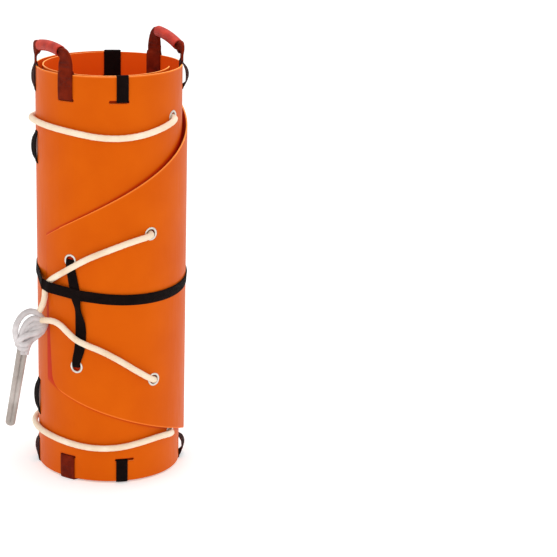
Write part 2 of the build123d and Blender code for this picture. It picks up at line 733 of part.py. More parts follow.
# The tow webbing between the two left eyelets of the flap
# Stations: bearing, radius about the axis, height, pitch, turn about its own line, width, thickness.
# Their heights were taken with the eyelets at 269 and 511, and stretch with the space between these.
lower_end = FLAP_EYELETS["lower_left"][2]
tow_web_stretch = (FLAP_EYELETS["upper_left"][2] - lower_end) / (511.0 - 269.0)
tow_web_stations = [
    (-30.4, 163.2, 511.0, 90, 0, 16.0, 4.4),
    (-30.4, 168.6, 510.4, 70, 0, 16.5, 4.2),
    (-30.2, 171.0, 505.0, 20, 0, 18.0, 3.4),
    (-29.2, 169.9, 490.0, 0, 0, 22.0, 2.2),
    (-27.0, 169.7, 458.0, 0, 0, 24.0, 2.2),
    (-25.2, 169.7, 430.0, 0, 0, 23.0, 2.2),
    (-24.7, 169.8, 422.0, 0, 0, 22.0, 2.2),
    (-23.3, 172.7, 404.0, 0, 20, 17.0, 3.0),
    (-21.6, 170.4, 372.0, 0, 0, 23.0, 2.2),
    (-21.4, 169.7, 340.0, 0, 0, 25.0, 2.2),
    (-22.6, 169.7, 310.0, 0, 0, 24.0, 2.2),
    (-24.6, 170.4, 287.0, 0, 0, 21.0, 2.2),
    (-25.3, 171.3, 275.0, -20, 0, 18.0, 3.4),
    (-25.6, 168.6, 269.6, -70, 0, 16.5, 4.2),
    (-25.6, 163.2, 269.0, -90, 0, 16.0, 4.4),
]
with BuildPart() as tow_webbing:
    for bearing, radius, traced, pitch, twist, width, thick in tow_web_stations:
        height = lower_end + (traced - 269.0) * tow_web_stretch
        turn = radians(bearing)
        along = Vector(cos(turn), sin(turn), 0)
        outward = Vector(sin(turn), -cos(turn), 0)
        down = Vector(0, 0, -1)
        heading = down * cos(radians(pitch)) + outward * sin(radians(pitch))
        broadside = along.rotate(Axis((0, 0, 0), heading), twist)
        with BuildSketch(Plane(about_axis(bearing, radius, height), x_dir=broadside, z_dir=heading)):
            RectangleRounded(width, thick, 0.4 * thick)
    loft(ruled=True)
save(tow_webbing, "tow_webbing")

# The closure strap: pulled tight, so its path is the hull of all that it goes round
ropes_under_strap = [(-47.0, 175.0), (-50.5, 174.0), (-54.0, 173.6)]
webbing_under_strap = [(-26.6, 170.0, -12.5), (-24.9, 170.0, 12.5)]
closure_reach = 1.5 * roll_radius  # further out than the strap, for the cuts that trim it
closure_depth = 60.0         # more than half the height that the tilted strap takes
closure_tilt = Vector(-closure_tilt_side, -closure_tilt_front, 1).normalized()
closure_plane = Plane((0, 0, rim_lift + closure_height), z_dir=closure_tilt)
with BuildPart() as closure_strap:
    with BuildSketch(Plane.XY.offset(rim_lift + closure_height - closure_depth)):
        with BuildLine(mode=Mode.PRIVATE) as held:
            for centre, radius, first, last in (
                (flap_front_centre, flap_front_radius, flap_end, 90),
                (flap_back_centre, flap_back_radius, 90, 270),
                (0, roll_radius, 270, 290),
            ):
                CenterArc((centre, 0), radius + half_sheet + web_gap, first - 90, last - first)
            for bearing, radius in ropes_under_strap:
                spot = about_axis(bearing, radius, 0)
                CenterArc((spot.X, spot.Y), rope / 2 + web_gap, 0, 360)
            for bearing, radius, edge in webbing_under_strap:
                spot = about_axis(bearing, radius, 0) + edge * Vector(cos(radians(bearing)), sin(radians(bearing)))
                CenterArc((spot.X, spot.Y), web_thick / 2 + web_gap, 0, 360)
        make_hull(held.edges())
        offset(amount=closure_thick, kind=Kind.ARC)
        make_hull(held.edges(), mode=Mode.SUBTRACT)
    extrude(amount=2 * closure_depth)
    with BuildSketch(closure_plane.offset(-closure_web / 2)):
        Rectangle(2 * closure_reach, 2 * closure_reach)
    extrude(amount=closure_web, mode=Mode.INTERSECT)
save(closure_strap, "closure_strap")


# The strap's free tail and its cam buckle, concentric with the strap at the back
strap_face = flap_back_radius + half_sheet + web_gap + closure_thick
base_face = strap_face + buckle_gap + plate
tail_face = base_face + buckle_gap


def back_band(inner, outer, first, last, width):
    """A band round the back of the roll, trimmed to a width along the tilted strap."""
    with BuildPart() as band:
        with BuildSketch(Plane.XY.offset(rim_lift + closure_height - closure_depth)):
            with BuildLine():
                for radius in (inner, outer):
                    CenterArc((flap_back_centre, 0), radius, first - 90, last - first)
                for bearing in (first, last):
                    turn = radians(bearing)
                    outward = Vector(sin(turn), -cos(turn))
                    centre = Vector(flap_back_centre, 0)
                    Line(centre + outward * inner, centre + outward * outer)
            make_face()
        extrude(amount=2 * closure_depth)
        with BuildSketch(closure_plane.offset(-width / 2)):
            Rectangle(2 * closure_reach, 2 * closure_reach)
        extrude(amount=width, mode=Mode.INTERSECT)
    return band.part


sewn_fold = around((flap_back_centre, tail_face), tail_fold)
with BuildPart() as closure_tail:
    add(back_band(tail_face, tail_face + closure_thick, tail_first, tail_last, closure_web))
    add(back_band(strap_face + eyelet_gap, tail_face + closure_thick, tail_first, tail_first + sewn_fold, closure_web))
save(closure_tail, "closure_tail")

# In the buckle's own plane x runs along the strap and y outwards from the strap's outer face
buckle_out = Vector(sin(radians(buckle_bearing)), -cos(radians(buckle_bearing)), 0)
buckle_slope = closure_tilt_front * sin(radians(buckle_bearing)) + closure_tilt_side * cos(radians(buckle_bearing))
buckle_along = Vector(cos(radians(buckle_bearing)), sin(radians(buckle_bearing)), buckle_slope).normalized()
buckle_foot = Vector(flap_back_centre, 0, rim_lift + closure_height) + buckle_out * strap_face
buckle_foot += Vector(0, 0, closure_tilt_front * buckle_foot.Y + closure_tilt_side * buckle_foot.X)
buckle_plane = Plane(buckle_foot, x_dir=buckle_along, z_dir=buckle_along.cross(buckle_out))
cheek_inside = closure_web / 2 + cheek_margin
buckle_half_turn = around((flap_back_centre, strap_face), buckle_length / 2)
with BuildPart() as buckle_frame:
    add(
        back_band(
            strap_face + buckle_gap,
            base_face,
            buckle_bearing - buckle_half_turn,
            buckle_bearing + buckle_half_turn,
            buckle_width,
        )
    )
    for side in (-1, 1):
        with BuildSketch(buckle_plane.offset(side * (cheek_inside + plate / 2))):
            with BuildLine():
                FilletPolyline(
                    [
                        (-cheek_length / 2, buckle_gap),
                        (cheek_length / 2, buckle_gap),
                        (cheek_length / 2 - cheek_slant, cheek_height),
                        (cheek_slant - cheek_length / 2, cheek_height),
                    ],
                    radius=[0.1, 0.1, cheek_corner, cheek_corner],
                    close=True,
                )
            make_face()
            with Locations((0, pin_height)):
                Circle((pin_width + pin_play) / 2, mode=Mode.SUBTRACT)
        extrude(amount=plate / 2, both=True)
save(buckle_frame, "buckle_frame")

with BuildPart() as buckle_pin:
    with BuildSketch(buckle_plane):
        with Locations((0, pin_height)):
            Circle(pin_width / 2)
    extrude(amount=cheek_inside + plate + eyelet_gap, both=True)
    for side in (-1, 1):
        with BuildSketch(buckle_plane.offset(side * (cheek_inside + plate + eyelet_gap + plate / 2))):
            with Locations((0, pin_height)):
                Circle(pin_head / 2)
        extrude(amount=plate / 2, both=True)
save(buckle_pin, "buckle_pin")

with BuildPart() as buckle_lever:
    with BuildSketch(buckle_plane):
        with Locations((0, pin_height)):
            Circle(cam_radius)
        with BuildLine():
            FilletPolyline(
                [
                    (-2.0, pin_height - 2.5),
                    (-0.8, pin_height - cam_nose),
                    (0.8, pin_height - cam_nose),
                    (2.6, pin_height - 2.0),
                ],
                radius=0.2,
                close=True,
            )
        make_face()
        with BuildLine():
            FilletPolyline(
                [
                    (1.0, pin_height + 1.6),
                    (1.0, pin_height + cam_radius),
                    (-lever_length + 5, pin_height + cam_radius),
                    (-lever_length, pin_height + cam_radius + 2.4),
                    (-lever_length, pin_height + cam_radius + 0.6),
                    (-lever_length + 5.6, pin_height + 1.6),
                ],
                radius=0.5,
                close=True,
            )
        make_face()
        with Locations((0, pin_height)):
            Circle((pin_width + pin_play) / 2, mode=Mode.SUBTRACT)
    extrude(amount=cheek_inside - pin_play, both=True)
save(buckle_lever, "buckle_lever")
lever_pivot = buckle_plane.from_local_coords(Vector(0, pin_height, 0))
print("lever pivot", [round(v / 1000, 5) for v in lever_pivot], "axis", [round(-v, 5) for v in buckle_plane.z_dir])
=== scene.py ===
# %% [markdown]
# # A rescue stretcher, rolled up and strapped
#
# The object is one tough plastic sheet, rolled to a drum about a third of a metre across. Ropes run
# through eyelets near both rims, a tow rope is knotted at the left, webbing loops sit in slots all
# round, and four webbing handles carry round grips. The solids give every size and place. This file
# dresses them: it makes the rope, the webbing and the metal as meshes of their own, and gives each
# surface its finish.

# %% Load the solids
import math

import bpy
import numpy as np
from mathutils import Matrix, Vector
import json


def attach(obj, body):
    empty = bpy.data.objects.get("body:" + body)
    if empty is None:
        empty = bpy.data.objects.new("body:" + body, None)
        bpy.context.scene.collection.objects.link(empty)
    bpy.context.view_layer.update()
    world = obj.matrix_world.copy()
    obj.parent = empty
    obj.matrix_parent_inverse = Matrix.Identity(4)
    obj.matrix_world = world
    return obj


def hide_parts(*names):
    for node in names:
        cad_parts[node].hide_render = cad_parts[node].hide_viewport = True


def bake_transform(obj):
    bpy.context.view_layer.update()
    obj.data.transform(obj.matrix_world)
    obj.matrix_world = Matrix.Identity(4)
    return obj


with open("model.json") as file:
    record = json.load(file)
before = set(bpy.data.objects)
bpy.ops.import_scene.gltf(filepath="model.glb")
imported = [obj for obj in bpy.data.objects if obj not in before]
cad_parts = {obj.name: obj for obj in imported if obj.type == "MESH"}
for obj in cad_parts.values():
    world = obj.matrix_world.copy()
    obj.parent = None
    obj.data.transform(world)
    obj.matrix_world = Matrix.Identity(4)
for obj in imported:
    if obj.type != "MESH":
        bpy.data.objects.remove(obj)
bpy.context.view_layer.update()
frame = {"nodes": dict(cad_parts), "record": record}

# %% [markdown]
# ## Sizes
#
# Everything is in metres. The roll stands on folded webbing, so heights on the sheet start a little
# above the floor. Each wrap of the roll is a circle, given by where its centre lies on X and by its
# radius. A bearing of 0 is the front, 90 the right and 180 the back.

# %% Sizes of the roll and its webbing
RIM_LIFT = 0.0044
SHEET_WIDTH = 0.92
HALF_SHEET = 0.0015
TOP_RIM = RIM_LIFT + SHEET_WIDTH
TOP_SLOT = TOP_RIM - 0.055
BOTTOM_SLOT = RIM_LIFT + 0.050
WEB_THICK = 0.0022
WEB_GAP = 0.0003
HANDLE_WEB = 0.038
CROSS_WEB = 0.026
ROPE = 0.014
DRUM_FRONT = (0.0, 0.1605)
DRUM_BACK = (0.008, 0.1525)
FLAP_FRONT = (0.00448, 0.16802)
FLAP_BACK = (0.006, 0.1665)


def on_circle(circle, bearing, height=0.0, out=0.0):
    """A point on a wrap, at a bearing about the wrap's own centre."""
    turn = math.radians(bearing)
    reach = circle[1] + out
    return Vector((circle[0] + reach * math.sin(turn), -reach * math.cos(turn), height))


def about_axis(bearing, radius, height):
    """A point by bearing and radius about the roll's axis, height above the sheet's lower edge."""
    return on_circle((0.0, radius), bearing, RIM_LIFT + height)


def outward_at(bearing):
    """The level direction away from the axis at a bearing."""
    return Vector((math.sin(math.radians(bearing)), -math.cos(math.radians(bearing)), 0))


def along_at(bearing):
    """The level direction along the sheet at a bearing, towards the right at the front."""
    return Vector((math.cos(math.radians(bearing)), math.sin(math.radians(bearing)), 0))


# %% [markdown]
# ## The camera
#
# The picture was taken from about four metres away, a little above the top rim, with a long lens.
# The roll stands left of the picture's middle, which a shifted lens gives without turning the camera.

# %% Camera
def show(name, data):
    """A new object in the scene, made from its data."""
    item = bpy.data.objects.new(name, data)
    bpy.context.scene.collection.objects.link(item)
    return item


camera_data = bpy.data.cameras.new("camera")
camera_data.sensor_width = 36.0
camera_data.lens = 120.75
camera_data.shift_x = 0.3046
camera_data.clip_end = 60.0
camera = show("camera", camera_data)
camera.location = (0.0, -4.0618, 1.6425)
camera.rotation_euler = (math.pi / 2 - 0.2896, 0.0, 0.0)
bpy.context.scene.camera = camera

# %% [markdown]
# ## Light
#
# The object stands in a white studio. A pale sky lights it from all round, two broad lamps in front
# give the form a side, and a small one above shines down into the roll.

# %% World and lamps
world = bpy.data.worlds.new("studio")
world.use_nodes = True
sky = world.node_tree.nodes["Background"].inputs
sky["Color"].default_value = (1.0, 1.0, 1.0, 1.0)
sky["Strength"].default_value = 0.93
bpy.context.scene.world = world
view = bpy.context.scene.view_settings
view.view_transform = "Standard"
view.look = "None"


def lamp(name, place, target, size, power):
    """A square area lamp, turned to face a target."""
    data = bpy.data.lights.new(name, "AREA")
    data.size = size
    data.energy = power
    item = show(name, data)
    item.location = place
    item.rotation_euler = (Vector(target) - Vector(place)).to_track_quat("-Z", "Y").to_euler()


lamp("key", (-1.2, -3.4, 2.2), (0, 0, 0.5), 1.6, 10)
lamp("fill", (2.2, -2.4, 1.4), (0, 0, 0.5), 1.8, 5)
lamp("down_the_roll", (0.1, 0.1, 2.1), (0.02, 0.05, 0.8), 0.5, 9)

# %% [markdown]
# ## Finishes
#
# Each finish is a small tree of nodes round one shader. A short helper makes the tree, so that each
# finish below reads as what it is: a colour that varies a little, a roughness, and a relief.


# %% Helpers for finishes
def srgb(*values):
    """A colour as a picture gives it, 0 to 255, turned into the linear values that a shader takes."""
    parts = [value / 255 for value in values]
    linear = [part / 12.92 if part < 0.04045 else ((part + 0.055) / 1.055) ** 2.4 for part in parts]
    return (*linear, 1.0)


class Finish:
    """A material being made: it adds nodes and joins them."""

    def __init__(self, name, **plain):
        """Plain values are set on the shader; an underscore in their names stands for a space."""
        self.material = bpy.data.materials.new(name)
        self.material.use_nodes = True
        self.nodes = self.material.node_tree.nodes
        self.links = self.material.node_tree.links
        self.shader = self.nodes["Principled BSDF"]
        for key, value in plain.items():
            self.shader.inputs[key.replace("_", " ")].default_value = value

    def add(self, kind, **values):
        """A node of a kind, with its sockets set or joined, and its plain properties set."""
        node = self.nodes.new("ShaderNode" + kind)
        for key, value in values.items():
            if hasattr(node, key):
                setattr(node, key, value)
                continue
            socket = node.inputs[int(key[1:])] if key[0] == "i" and key[1:].isdigit() else node.inputs[key]
            if isinstance(value, bpy.types.NodeSocket):
                self.links.new(value, socket)
            else:
                socket.default_value = value
        return node

    def ramp(self, factor, low, high, first, last):
        """A colour ramp between two colours, over a stretch of the factor."""
        node = self.add("ValToRGB", Fac=factor)
        node.color_ramp.elements[0].position = low
        node.color_ramp.elements[0].color = first
        node.color_ramp.elements[1].position = high
        node.color_ramp.elements[1].color = last
        return node.outputs["Color"]

    def math(self, operation, *values):
        """A math node on numbers or sockets, and its result."""
        inputs = {f"i{number}": value for number, value in enumerate(values)}
        return self.add("Math", operation=operation, **inputs).outputs[0]

    def mix(self, factor, first, second):
        """One colour turning into another by a factor."""
        return self.add("Mix", data_type="RGBA", i0=factor, i6=first, i7=second).outputs[2]

    def place(self):
        """Where a point is, in the object's own coordinates."""
        return self.add("TexCoord").outputs["Object"]

    def spread(self, value, low, high, first, last):
        """A number that goes from first to last while a value goes from low to high."""
        return self.add("MapRange", Value=value, i1=low, i2=high, i3=first, i4=last).outputs[0]

    def noise(self, scale, detail=2.0):
        """Noise laid by place, about so many lumps to the metre."""
        return self.add("TexNoise", Vector=self.place(), Scale=scale, Detail=detail).outputs["Fac"]

    def join(self, name, socket):
        """Join a socket to one of the shader's inputs."""
        self.links.new(socket, self.shader.inputs[name])

    def relief(self, height, distance, strength):
        """Join a height to the shader as a bump."""
        bump = self.add("Bump", Height=height, Distance=distance, Strength=strength)
        self.join("Normal", bump.outputs["Normal"])


# %% [markdown]
# The floor is white, and it glows just enough to have no edge against the background.

# %% Floor
FLOOR = 30.0
floor_finish = Finish(
    "white_floor", Base_Color=(0.9, 0.9, 0.9, 1), Roughness=0.9, Emission_Color=(1, 1, 1, 1),
    Emission_Strength=0.3,
)
floor_mesh = bpy.data.meshes.new("floor")
corners = [(FLOOR * x, FLOOR * y, 0) for x, y in ((-1, -1), (1, -1), (1, 1), (-1, 1))]
floor_mesh.from_pydata(corners, [], [(0, 1, 2, 3)])
floor_mesh.materials.append(floor_finish.material)
show("floor", floor_mesh)

# %% [markdown]
# The sheet is thick polyethylene, through-coloured orange, with a satin skin. Its marks depend on where
# they sit: the flap's two long edges climb evenly round the roll, so the bearing of a point and its
# height say how far it is from them. Each kind of place becomes a mask, which is 1 there and 0
# elsewhere, and masks are multiplied together.

# %% Places on the sheet
UPPER_EDGE_FRONT = RIM_LIFT + 0.645
UPPER_EDGE_SLOPE = 0.001584
LOWER_EDGE_FRONT = RIM_LIFT + 0.1605
LOWER_EDGE_SLOPE = -0.00103
FLAP_END = -58.5
UNDER_FLAP = 0.1628

sheet = Finish(
    "orange_polyethylene", IOR=1.35, Specular_IOR_Level=0.2, Specular_Tint=srgb(255, 205, 160),
    Emission_Strength=0.45,
)
calc = sheet.math
spot = sheet.add("SeparateXYZ", i0=sheet.place()).outputs
facing = sheet.add("SeparateXYZ", i0=sheet.add("NewGeometry").outputs["True Normal"]).outputs
bearing = calc("DEGREES", calc("ARCTAN2", spot["X"], calc("MULTIPLY", spot["Y"], -1.0)))


def times(*factors):
    """Masks and shares multiplied together."""
    product = factors[0]
    for factor in factors[1:]:
        product = calc("MULTIPLY", product, factor)
    return product


def level_dot(first, second):
    """The product of two directions as seen from above."""
    return calc("ADD", times(first["X"], second["X"]), times(first["Y"], second["Y"]))


def above(front, slope):
    """Height above an edge that climbs evenly round the roll."""
    return calc("SUBTRACT", spot["Z"], calc("MULTIPLY_ADD", bearing, slope, front))


def band(distance, reach):
    """1 where a distance is 0, falling to 0 at a reach, and 0 on the other side."""
    beyond = calc("GREATER_THAN" if reach > 0 else "LESS_THAN", distance, 0.0)
    return times(sheet.spread(distance, 0.0, reach, 1.0, 0.0), beyond)


outside = calc("GREATER_THAN", level_dot(spot, facing), 0.0)
past_end = calc("GREATER_THAN", bearing, FLAP_END)
under = times(calc("LESS_THAN", calc("SQRT", level_dot(spot, spot)), UNDER_FLAP), past_end)
over_upper = above(UPPER_EDGE_FRONT, UPPER_EDGE_SLOPE)
over_lower = above(LOWER_EDGE_FRONT, LOWER_EDGE_SLOPE)
over_rim = calc("SUBTRACT", spot["Z"], TOP_RIM)
cut = calc("GREATER_THAN", calc("ABSOLUTE", facing["Z"]), 0.5)

# %% [markdown]
# The cut edges and the skin just beside an edge are painted a paler orange, as a painted highlight. Dark red
# painted shade lies on the wrap below the flap, close to the flap's edges, and above and below the slots at
# the front, whose rows give bearing, height and half width. The inner faces are painted a brighter
# red-orange and given a painted red glow, for light that bounces inside the roll and comes through the
# plastic. Fine scuffs run up the sheet and change its roughness only.

# %% Finish: the sheet
HIGHLIGHT_REACH = 0.0035
HIGHLIGHT_SHARE = 0.75
SHADE_REACH = 0.0075
SHADE_SHARE = 0.8
SLOT_REACH = 0.006
FRONT_SLOTS = [
    (-35.0, TOP_SLOT, 0.0205), (7.9, TOP_SLOT, 0.0215),
    (-35.0, BOTTOM_SLOT, 0.0205), (12.6, BOTTOM_SLOT, 0.0215),
]

skin = sheet.ramp(sheet.noise(9.0, 3.0), 0.3, 0.75, srgb(204, 84, 1), srgb(213, 93, 3))
# Painted light: the inner faces get a brighter red-orange, for light bouncing inside the roll.
skin = sheet.mix(outside, srgb(224, 88, 12), skin)
# Painted highlight: a paler orange along the top rim and along the flap's two edges.
painted_highlight = calc("MAXIMUM", band(over_upper, -HIGHLIGHT_REACH), band(over_lower, HIGHLIGHT_REACH))
painted_highlight = calc("MAXIMUM", band(over_rim, -HIGHLIGHT_REACH), times(painted_highlight, past_end))
skin = sheet.mix(times(painted_highlight, outside, HIGHLIGHT_SHARE), skin, srgb(255, 138, 58))
# Painted shade: dark red on the wrap just below the flap, near the flap's edges.
near_upper = sheet.spread(over_upper, 0.0, SHADE_REACH, 1.0, 0.0)
near_lower = sheet.spread(over_lower, 0.0, -SHADE_REACH, 1.0, 0.0)
painted_shade = times(near_upper, near_lower, under)
# Painted shade round each front slot, above and below it.
for slot_bearing, level, half in FRONT_SLOTS:
    centre = on_circle(DRUM_FRONT, slot_bearing)
    aside = calc("SUBTRACT", bearing, math.degrees(math.atan2(centre.x, -centre.y)))
    aside = calc("ABSOLUTE", times(aside, math.radians(centre.length)))
    away = calc("ABSOLUTE", calc("SUBTRACT", spot["Z"], level))
    shade = times(band(away, SLOT_REACH), calc("LESS_THAN", aside, half))
    painted_shade = calc("MAXIMUM", painted_shade, shade)
skin = sheet.mix(times(painted_shade, outside, SHADE_SHARE), skin, srgb(190, 22, 4))
# Painted highlight: the cut edges, facing up and down, are a paler orange.
sheet.join("Base Color", sheet.mix(cut, skin, srgb(255, 168, 80)))
# Painted glow: the inner faces emit a dark red, for light coming through the plastic.
sheet.join("Emission Color", sheet.mix(outside, srgb(96, 12, 4), srgb(0, 0, 0)))
stretched = sheet.add("Mapping", Vector=sheet.place(), Scale=(1.0, 1.0, 0.06)).outputs[0]
scuffs = sheet.add("TexNoise", Vector=stretched, Scale=260.0, Detail=4.0).outputs["Fac"]
sheet.join("Roughness", sheet.spread(scuffs, 0.35, 0.75, 0.4, 0.56))
sheet.relief(sheet.noise(38.0), 0.0005, 0.35)
print("nodes of the sheet's finish:", len(sheet.nodes))


# %% [markdown]
# Webbing is woven flat. Its warp makes fine ribs along its length and its weft crosses them, so the
# relief is two sets of waves, laid by the strap's own coordinates: the first runs along it, the
# second across, both in metres. The outermost threads at both edges are packed tighter, as a selvedge.


# %% Finish: webbing
RIB_WAVES = {"scale": (180.0, 520.0, 1.0), "direction": "Y", "wobble": 0.3}
WEFT_WAVES = {"scale": (420.0, 60.0, 1.0), "direction": "X", "wobble": 0.5}


def webbing_finish(name, dark, light, sheen):
    """Woven webbing in one colour."""
    finish = Finish(name, Roughness=0.78, Sheen_Weight=sheen, Sheen_Roughness=0.4, Specular_IOR_Level=0.05)
    uv = finish.add("UVMap", uv_map="UVMap").outputs["UV"]

    def waves(scale, direction, wobble):
        laid = finish.add("Mapping", Vector=uv, Scale=scale).outputs[0]
        wave = finish.add("TexWave", Vector=laid, Scale=1.0, Distortion=wobble, Detail=0.0)
        wave.bands_direction = direction
        return wave.outputs["Fac"]

    weave = finish.math("MULTIPLY_ADD", waves(**WEFT_WAVES), 0.5, waves(**RIB_WAVES))
    tone = finish.math("MULTIPLY_ADD", weave, 0.35, finish.noise(70.0))
    finish.join("Base Color", finish.ramp(tone, 0.35, 1.05, dark, light))
    finish.relief(weave, 0.0003, 0.8)
    return finish.material


black_webbing = webbing_finish("black_webbing", srgb(8, 3, 3), srgb(24, 13, 11), 0.01)
brown_webbing = webbing_finish("brown_webbing", srgb(74, 12, 3), srgb(132, 36, 10), 0.02)
# Painted shade: a darker copy of the brown webbing, for the legs at the sides.
shaded_webbing = webbing_finish("shaded_webbing", srgb(30, 10, 8), srgb(66, 24, 18), 0.04)

# %% [markdown]
# The rope is a soft braided polyester, off-white, and the rope round the roll is painted a warm peach, as
# orange light reflected from the sheet. Its strands are real geometry, made below, so its finish only adds
# the fibres, as a fine fuzz, and stains. The knot and the tail are greyer than the rest.


# %% Finish: rope
def braid_finish(name, dull, clean):
    """Soft polyester braid between two shades."""
    finish = Finish(name, Roughness=0.88, Specular_IOR_Level=0.25)
    finish.join("Base Color", finish.ramp(finish.noise(24.0, 3.0), 0.3, 0.7, dull, clean))
    finish.relief(finish.noise(900.0), 0.0002, 0.6)
    return finish.material


# Off-white rope with a painted warm peach, reflected light from the orange sheet.
orange_lit_rope = braid_finish("orange_lit_rope", srgb(232, 207, 176), srgb(246, 229, 206))
knot_rope = braid_finish("knot_rope", srgb(184, 177, 176), srgb(222, 216, 216))
# The tail's rope is greyer than the rest.
greyer_rope = braid_finish("greyer_rope", srgb(150, 140, 132), srgb(190, 181, 175))

# %% [markdown]
# The grips are red rubber hose with fine pores. The eyelets and the buckle are plated, and where their
# plate is dull it is rougher too, so one noise gives both. The thread is dark and matt.

# %% Finishes: grips, metal and thread
grip = Finish("red_rubber", Roughness=0.5, Specular_IOR_Level=0.25)
grip.join("Base Color", grip.ramp(grip.noise(55.0, 4.0), 0.3, 0.75, srgb(150, 28, 14), srgb(196, 54, 30)))
grip.relief(grip.noise(700.0), 0.0002, 0.5)

metal = Finish("nickel_plate", Metallic=1.0)
tarnish = metal.noise(160.0, 4.0)
metal.join("Base Color", metal.ramp(tarnish, 0.35, 0.7, srgb(196, 190, 178), srgb(228, 226, 220)))
metal.join("Roughness", metal.spread(tarnish, 0.3, 0.8, 0.22, 0.42))

thread = Finish("sewing_thread", Roughness=0.7)
thread.join("Base Color", thread.ramp(thread.noise(1500.0), 0.3, 0.7, srgb(22, 8, 8), srgb(52, 22, 20)))

# %% Finishes on the solids
SLOT_FINISH = {
    "sheet": sheet.material,
    "black_webbing": black_webbing,
    "brown_webbing": brown_webbing,
    "rope": orange_lit_rope,
    "grip": grip.material,
    "eyelet": metal.material,
    "buckle": metal.material,
}
for row in frame["record"]["subparts"]:
    item = frame["nodes"][row["node"]]
    item.data.materials.clear()
    item.data.materials.append(SLOT_FINISH[row["material_slot"]])
print("finishes:", len(bpy.data.materials))


# %% [markdown]
# ## Making a piece
#
# Every piece made here ends the same way: its mesh gets its finish, it rides on the body that carries it,
# and the solids that it stands for are hidden.


# %% Helpers for pieces
def piece(name, points, faces, finish, body="root", nodes=(), uv=None):
    """A mesh object that rides on a body and stands for CAD nodes."""
    mesh = bpy.data.meshes.new(name)
    mesh.from_pydata([tuple(point) for point in points], [], faces)
    mesh.materials.append(finish)
    mesh.polygons.foreach_set("use_smooth", [True] * len(mesh.polygons))
    if uv is not None:
        layer = mesh.uv_layers.new(name="UVMap")
        corners = np.empty(len(mesh.loops), np.int32)
        mesh.loops.foreach_get("vertex_index", corners)
        layer.data.foreach_set("uv", np.asarray(uv, np.float32)[corners].ravel())
    mesh.validate()
    item = show(name, mesh)
    if body:
        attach(item, body)
    if nodes:
        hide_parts(*nodes)
    print(f"{name}: {len(faces)} faces")
    return item


def ring_faces(rings, sides, closed=False):
    """Quads between rings of points, with flat caps at open ends."""
    faces = []
    for ring in range(rings if closed else rings - 1):
        low = ring * sides
        high = (ring + 1) % rings * sides
        for side in range(sides):
            after = (side + 1) % sides
            faces.append((low + side, low + after, high + after, high + side))
    if not closed:
        faces.append(tuple(reversed(range(sides))))
        faces.append(tuple((rings - 1) * sides + side for side in range(sides)))
    return faces


# %% Smooth lines
def smooth_line(points, step, closed=False):
    """Points at even steps on a smooth curve that passes through the given ones."""
    points = np.array([tuple(point) for point in points], float)
    count = len(points)
    samples = []
    for number in range(count if closed else count - 1):
        if closed:
            four = [points[(number + shift) % count] for shift in (-1, 0, 1, 2)]
        else:
            before = points[number - 1] if number else 2 * points[0] - points[1]
            after = points[number + 2] if number + 2 < count else 2 * points[-1] - points[-2]
            four = [before, points[number], points[number + 1], after]
        parts = max(2, int(np.linalg.norm(four[2][:3] - four[1][:3]) / step) + 1)
        for share in np.arange(parts) / parts:
            samples.append(
                0.5 * (
                    2 * four[1] + (four[2] - four[0]) * share
                    + (2 * four[0] - 5 * four[1] + 4 * four[2] - four[3]) * share**2
                    + (3 * four[1] - four[0] - 3 * four[2] + four[3]) * share**3
                )
            )
    if not closed:
        samples.append(points[-1])
    return np.array(samples)


def distances(line):
    """How far along a line each of its points is."""
    return np.concatenate([[0.0], np.cumsum(np.linalg.norm(np.diff(line, axis=0), axis=1))])


def directions(line, closed=False):
    """Which way a line runs at each of its points."""
    ways = np.roll(line, -1, axis=0) - np.roll(line, 1, axis=0) if closed else np.gradient(line, axis=0)
    return ways / np.linalg.norm(ways, axis=1)[:, None]


def even_steps(line, step):
    """The same polyline with its points at even steps."""
    reach = distances(line)
    marks = np.linspace(0, reach[-1], max(2, int(reach[-1] / step)) + 1)
    return np.stack([np.interp(marks, reach, line[:, axis]) for axis in range(3)], axis=1)


# %% [markdown]
# ## The ropes
#
# A rope lies on one smooth curve whose control points are its route. The braid is made as mesh: a tube
# whose surface rises where a strand lies on top and dips where it goes under. Two families of strands
# wind opposite ways, and each crosses over the other by turns.


# %% Braided rope
STRANDS = 7
LAY_LENGTH = 0.05
BRAID_SIDES = 42
BRAID_STEP = 0.0015
BRAID_DEPTH = 0.0007
CROSSING = 0.25


def route_line(name, route):
    """The smooth curve of a route, as points."""
    curve = bpy.data.curves.new(name + "_route", "CURVE")
    curve.dimensions = "3D"
    curve.resolution_u = 24
    spline = curve.splines.new("NURBS")
    spline.points.add(len(route) - 1)
    for point, spot in zip(spline.points, route):
        point.co = (*spot, 1.0)
    spline.order_u = 3
    spline.use_endpoint_u = True
    holder = bpy.data.objects.new(name + "_route", curve)
    mesh = bpy.data.meshes.new_from_object(holder)
    line = np.array([tuple(vertex.co) for vertex in mesh.vertices])
    bpy.data.objects.remove(holder)
    bpy.data.curves.remove(curve)
    bpy.data.meshes.remove(mesh)
    return line


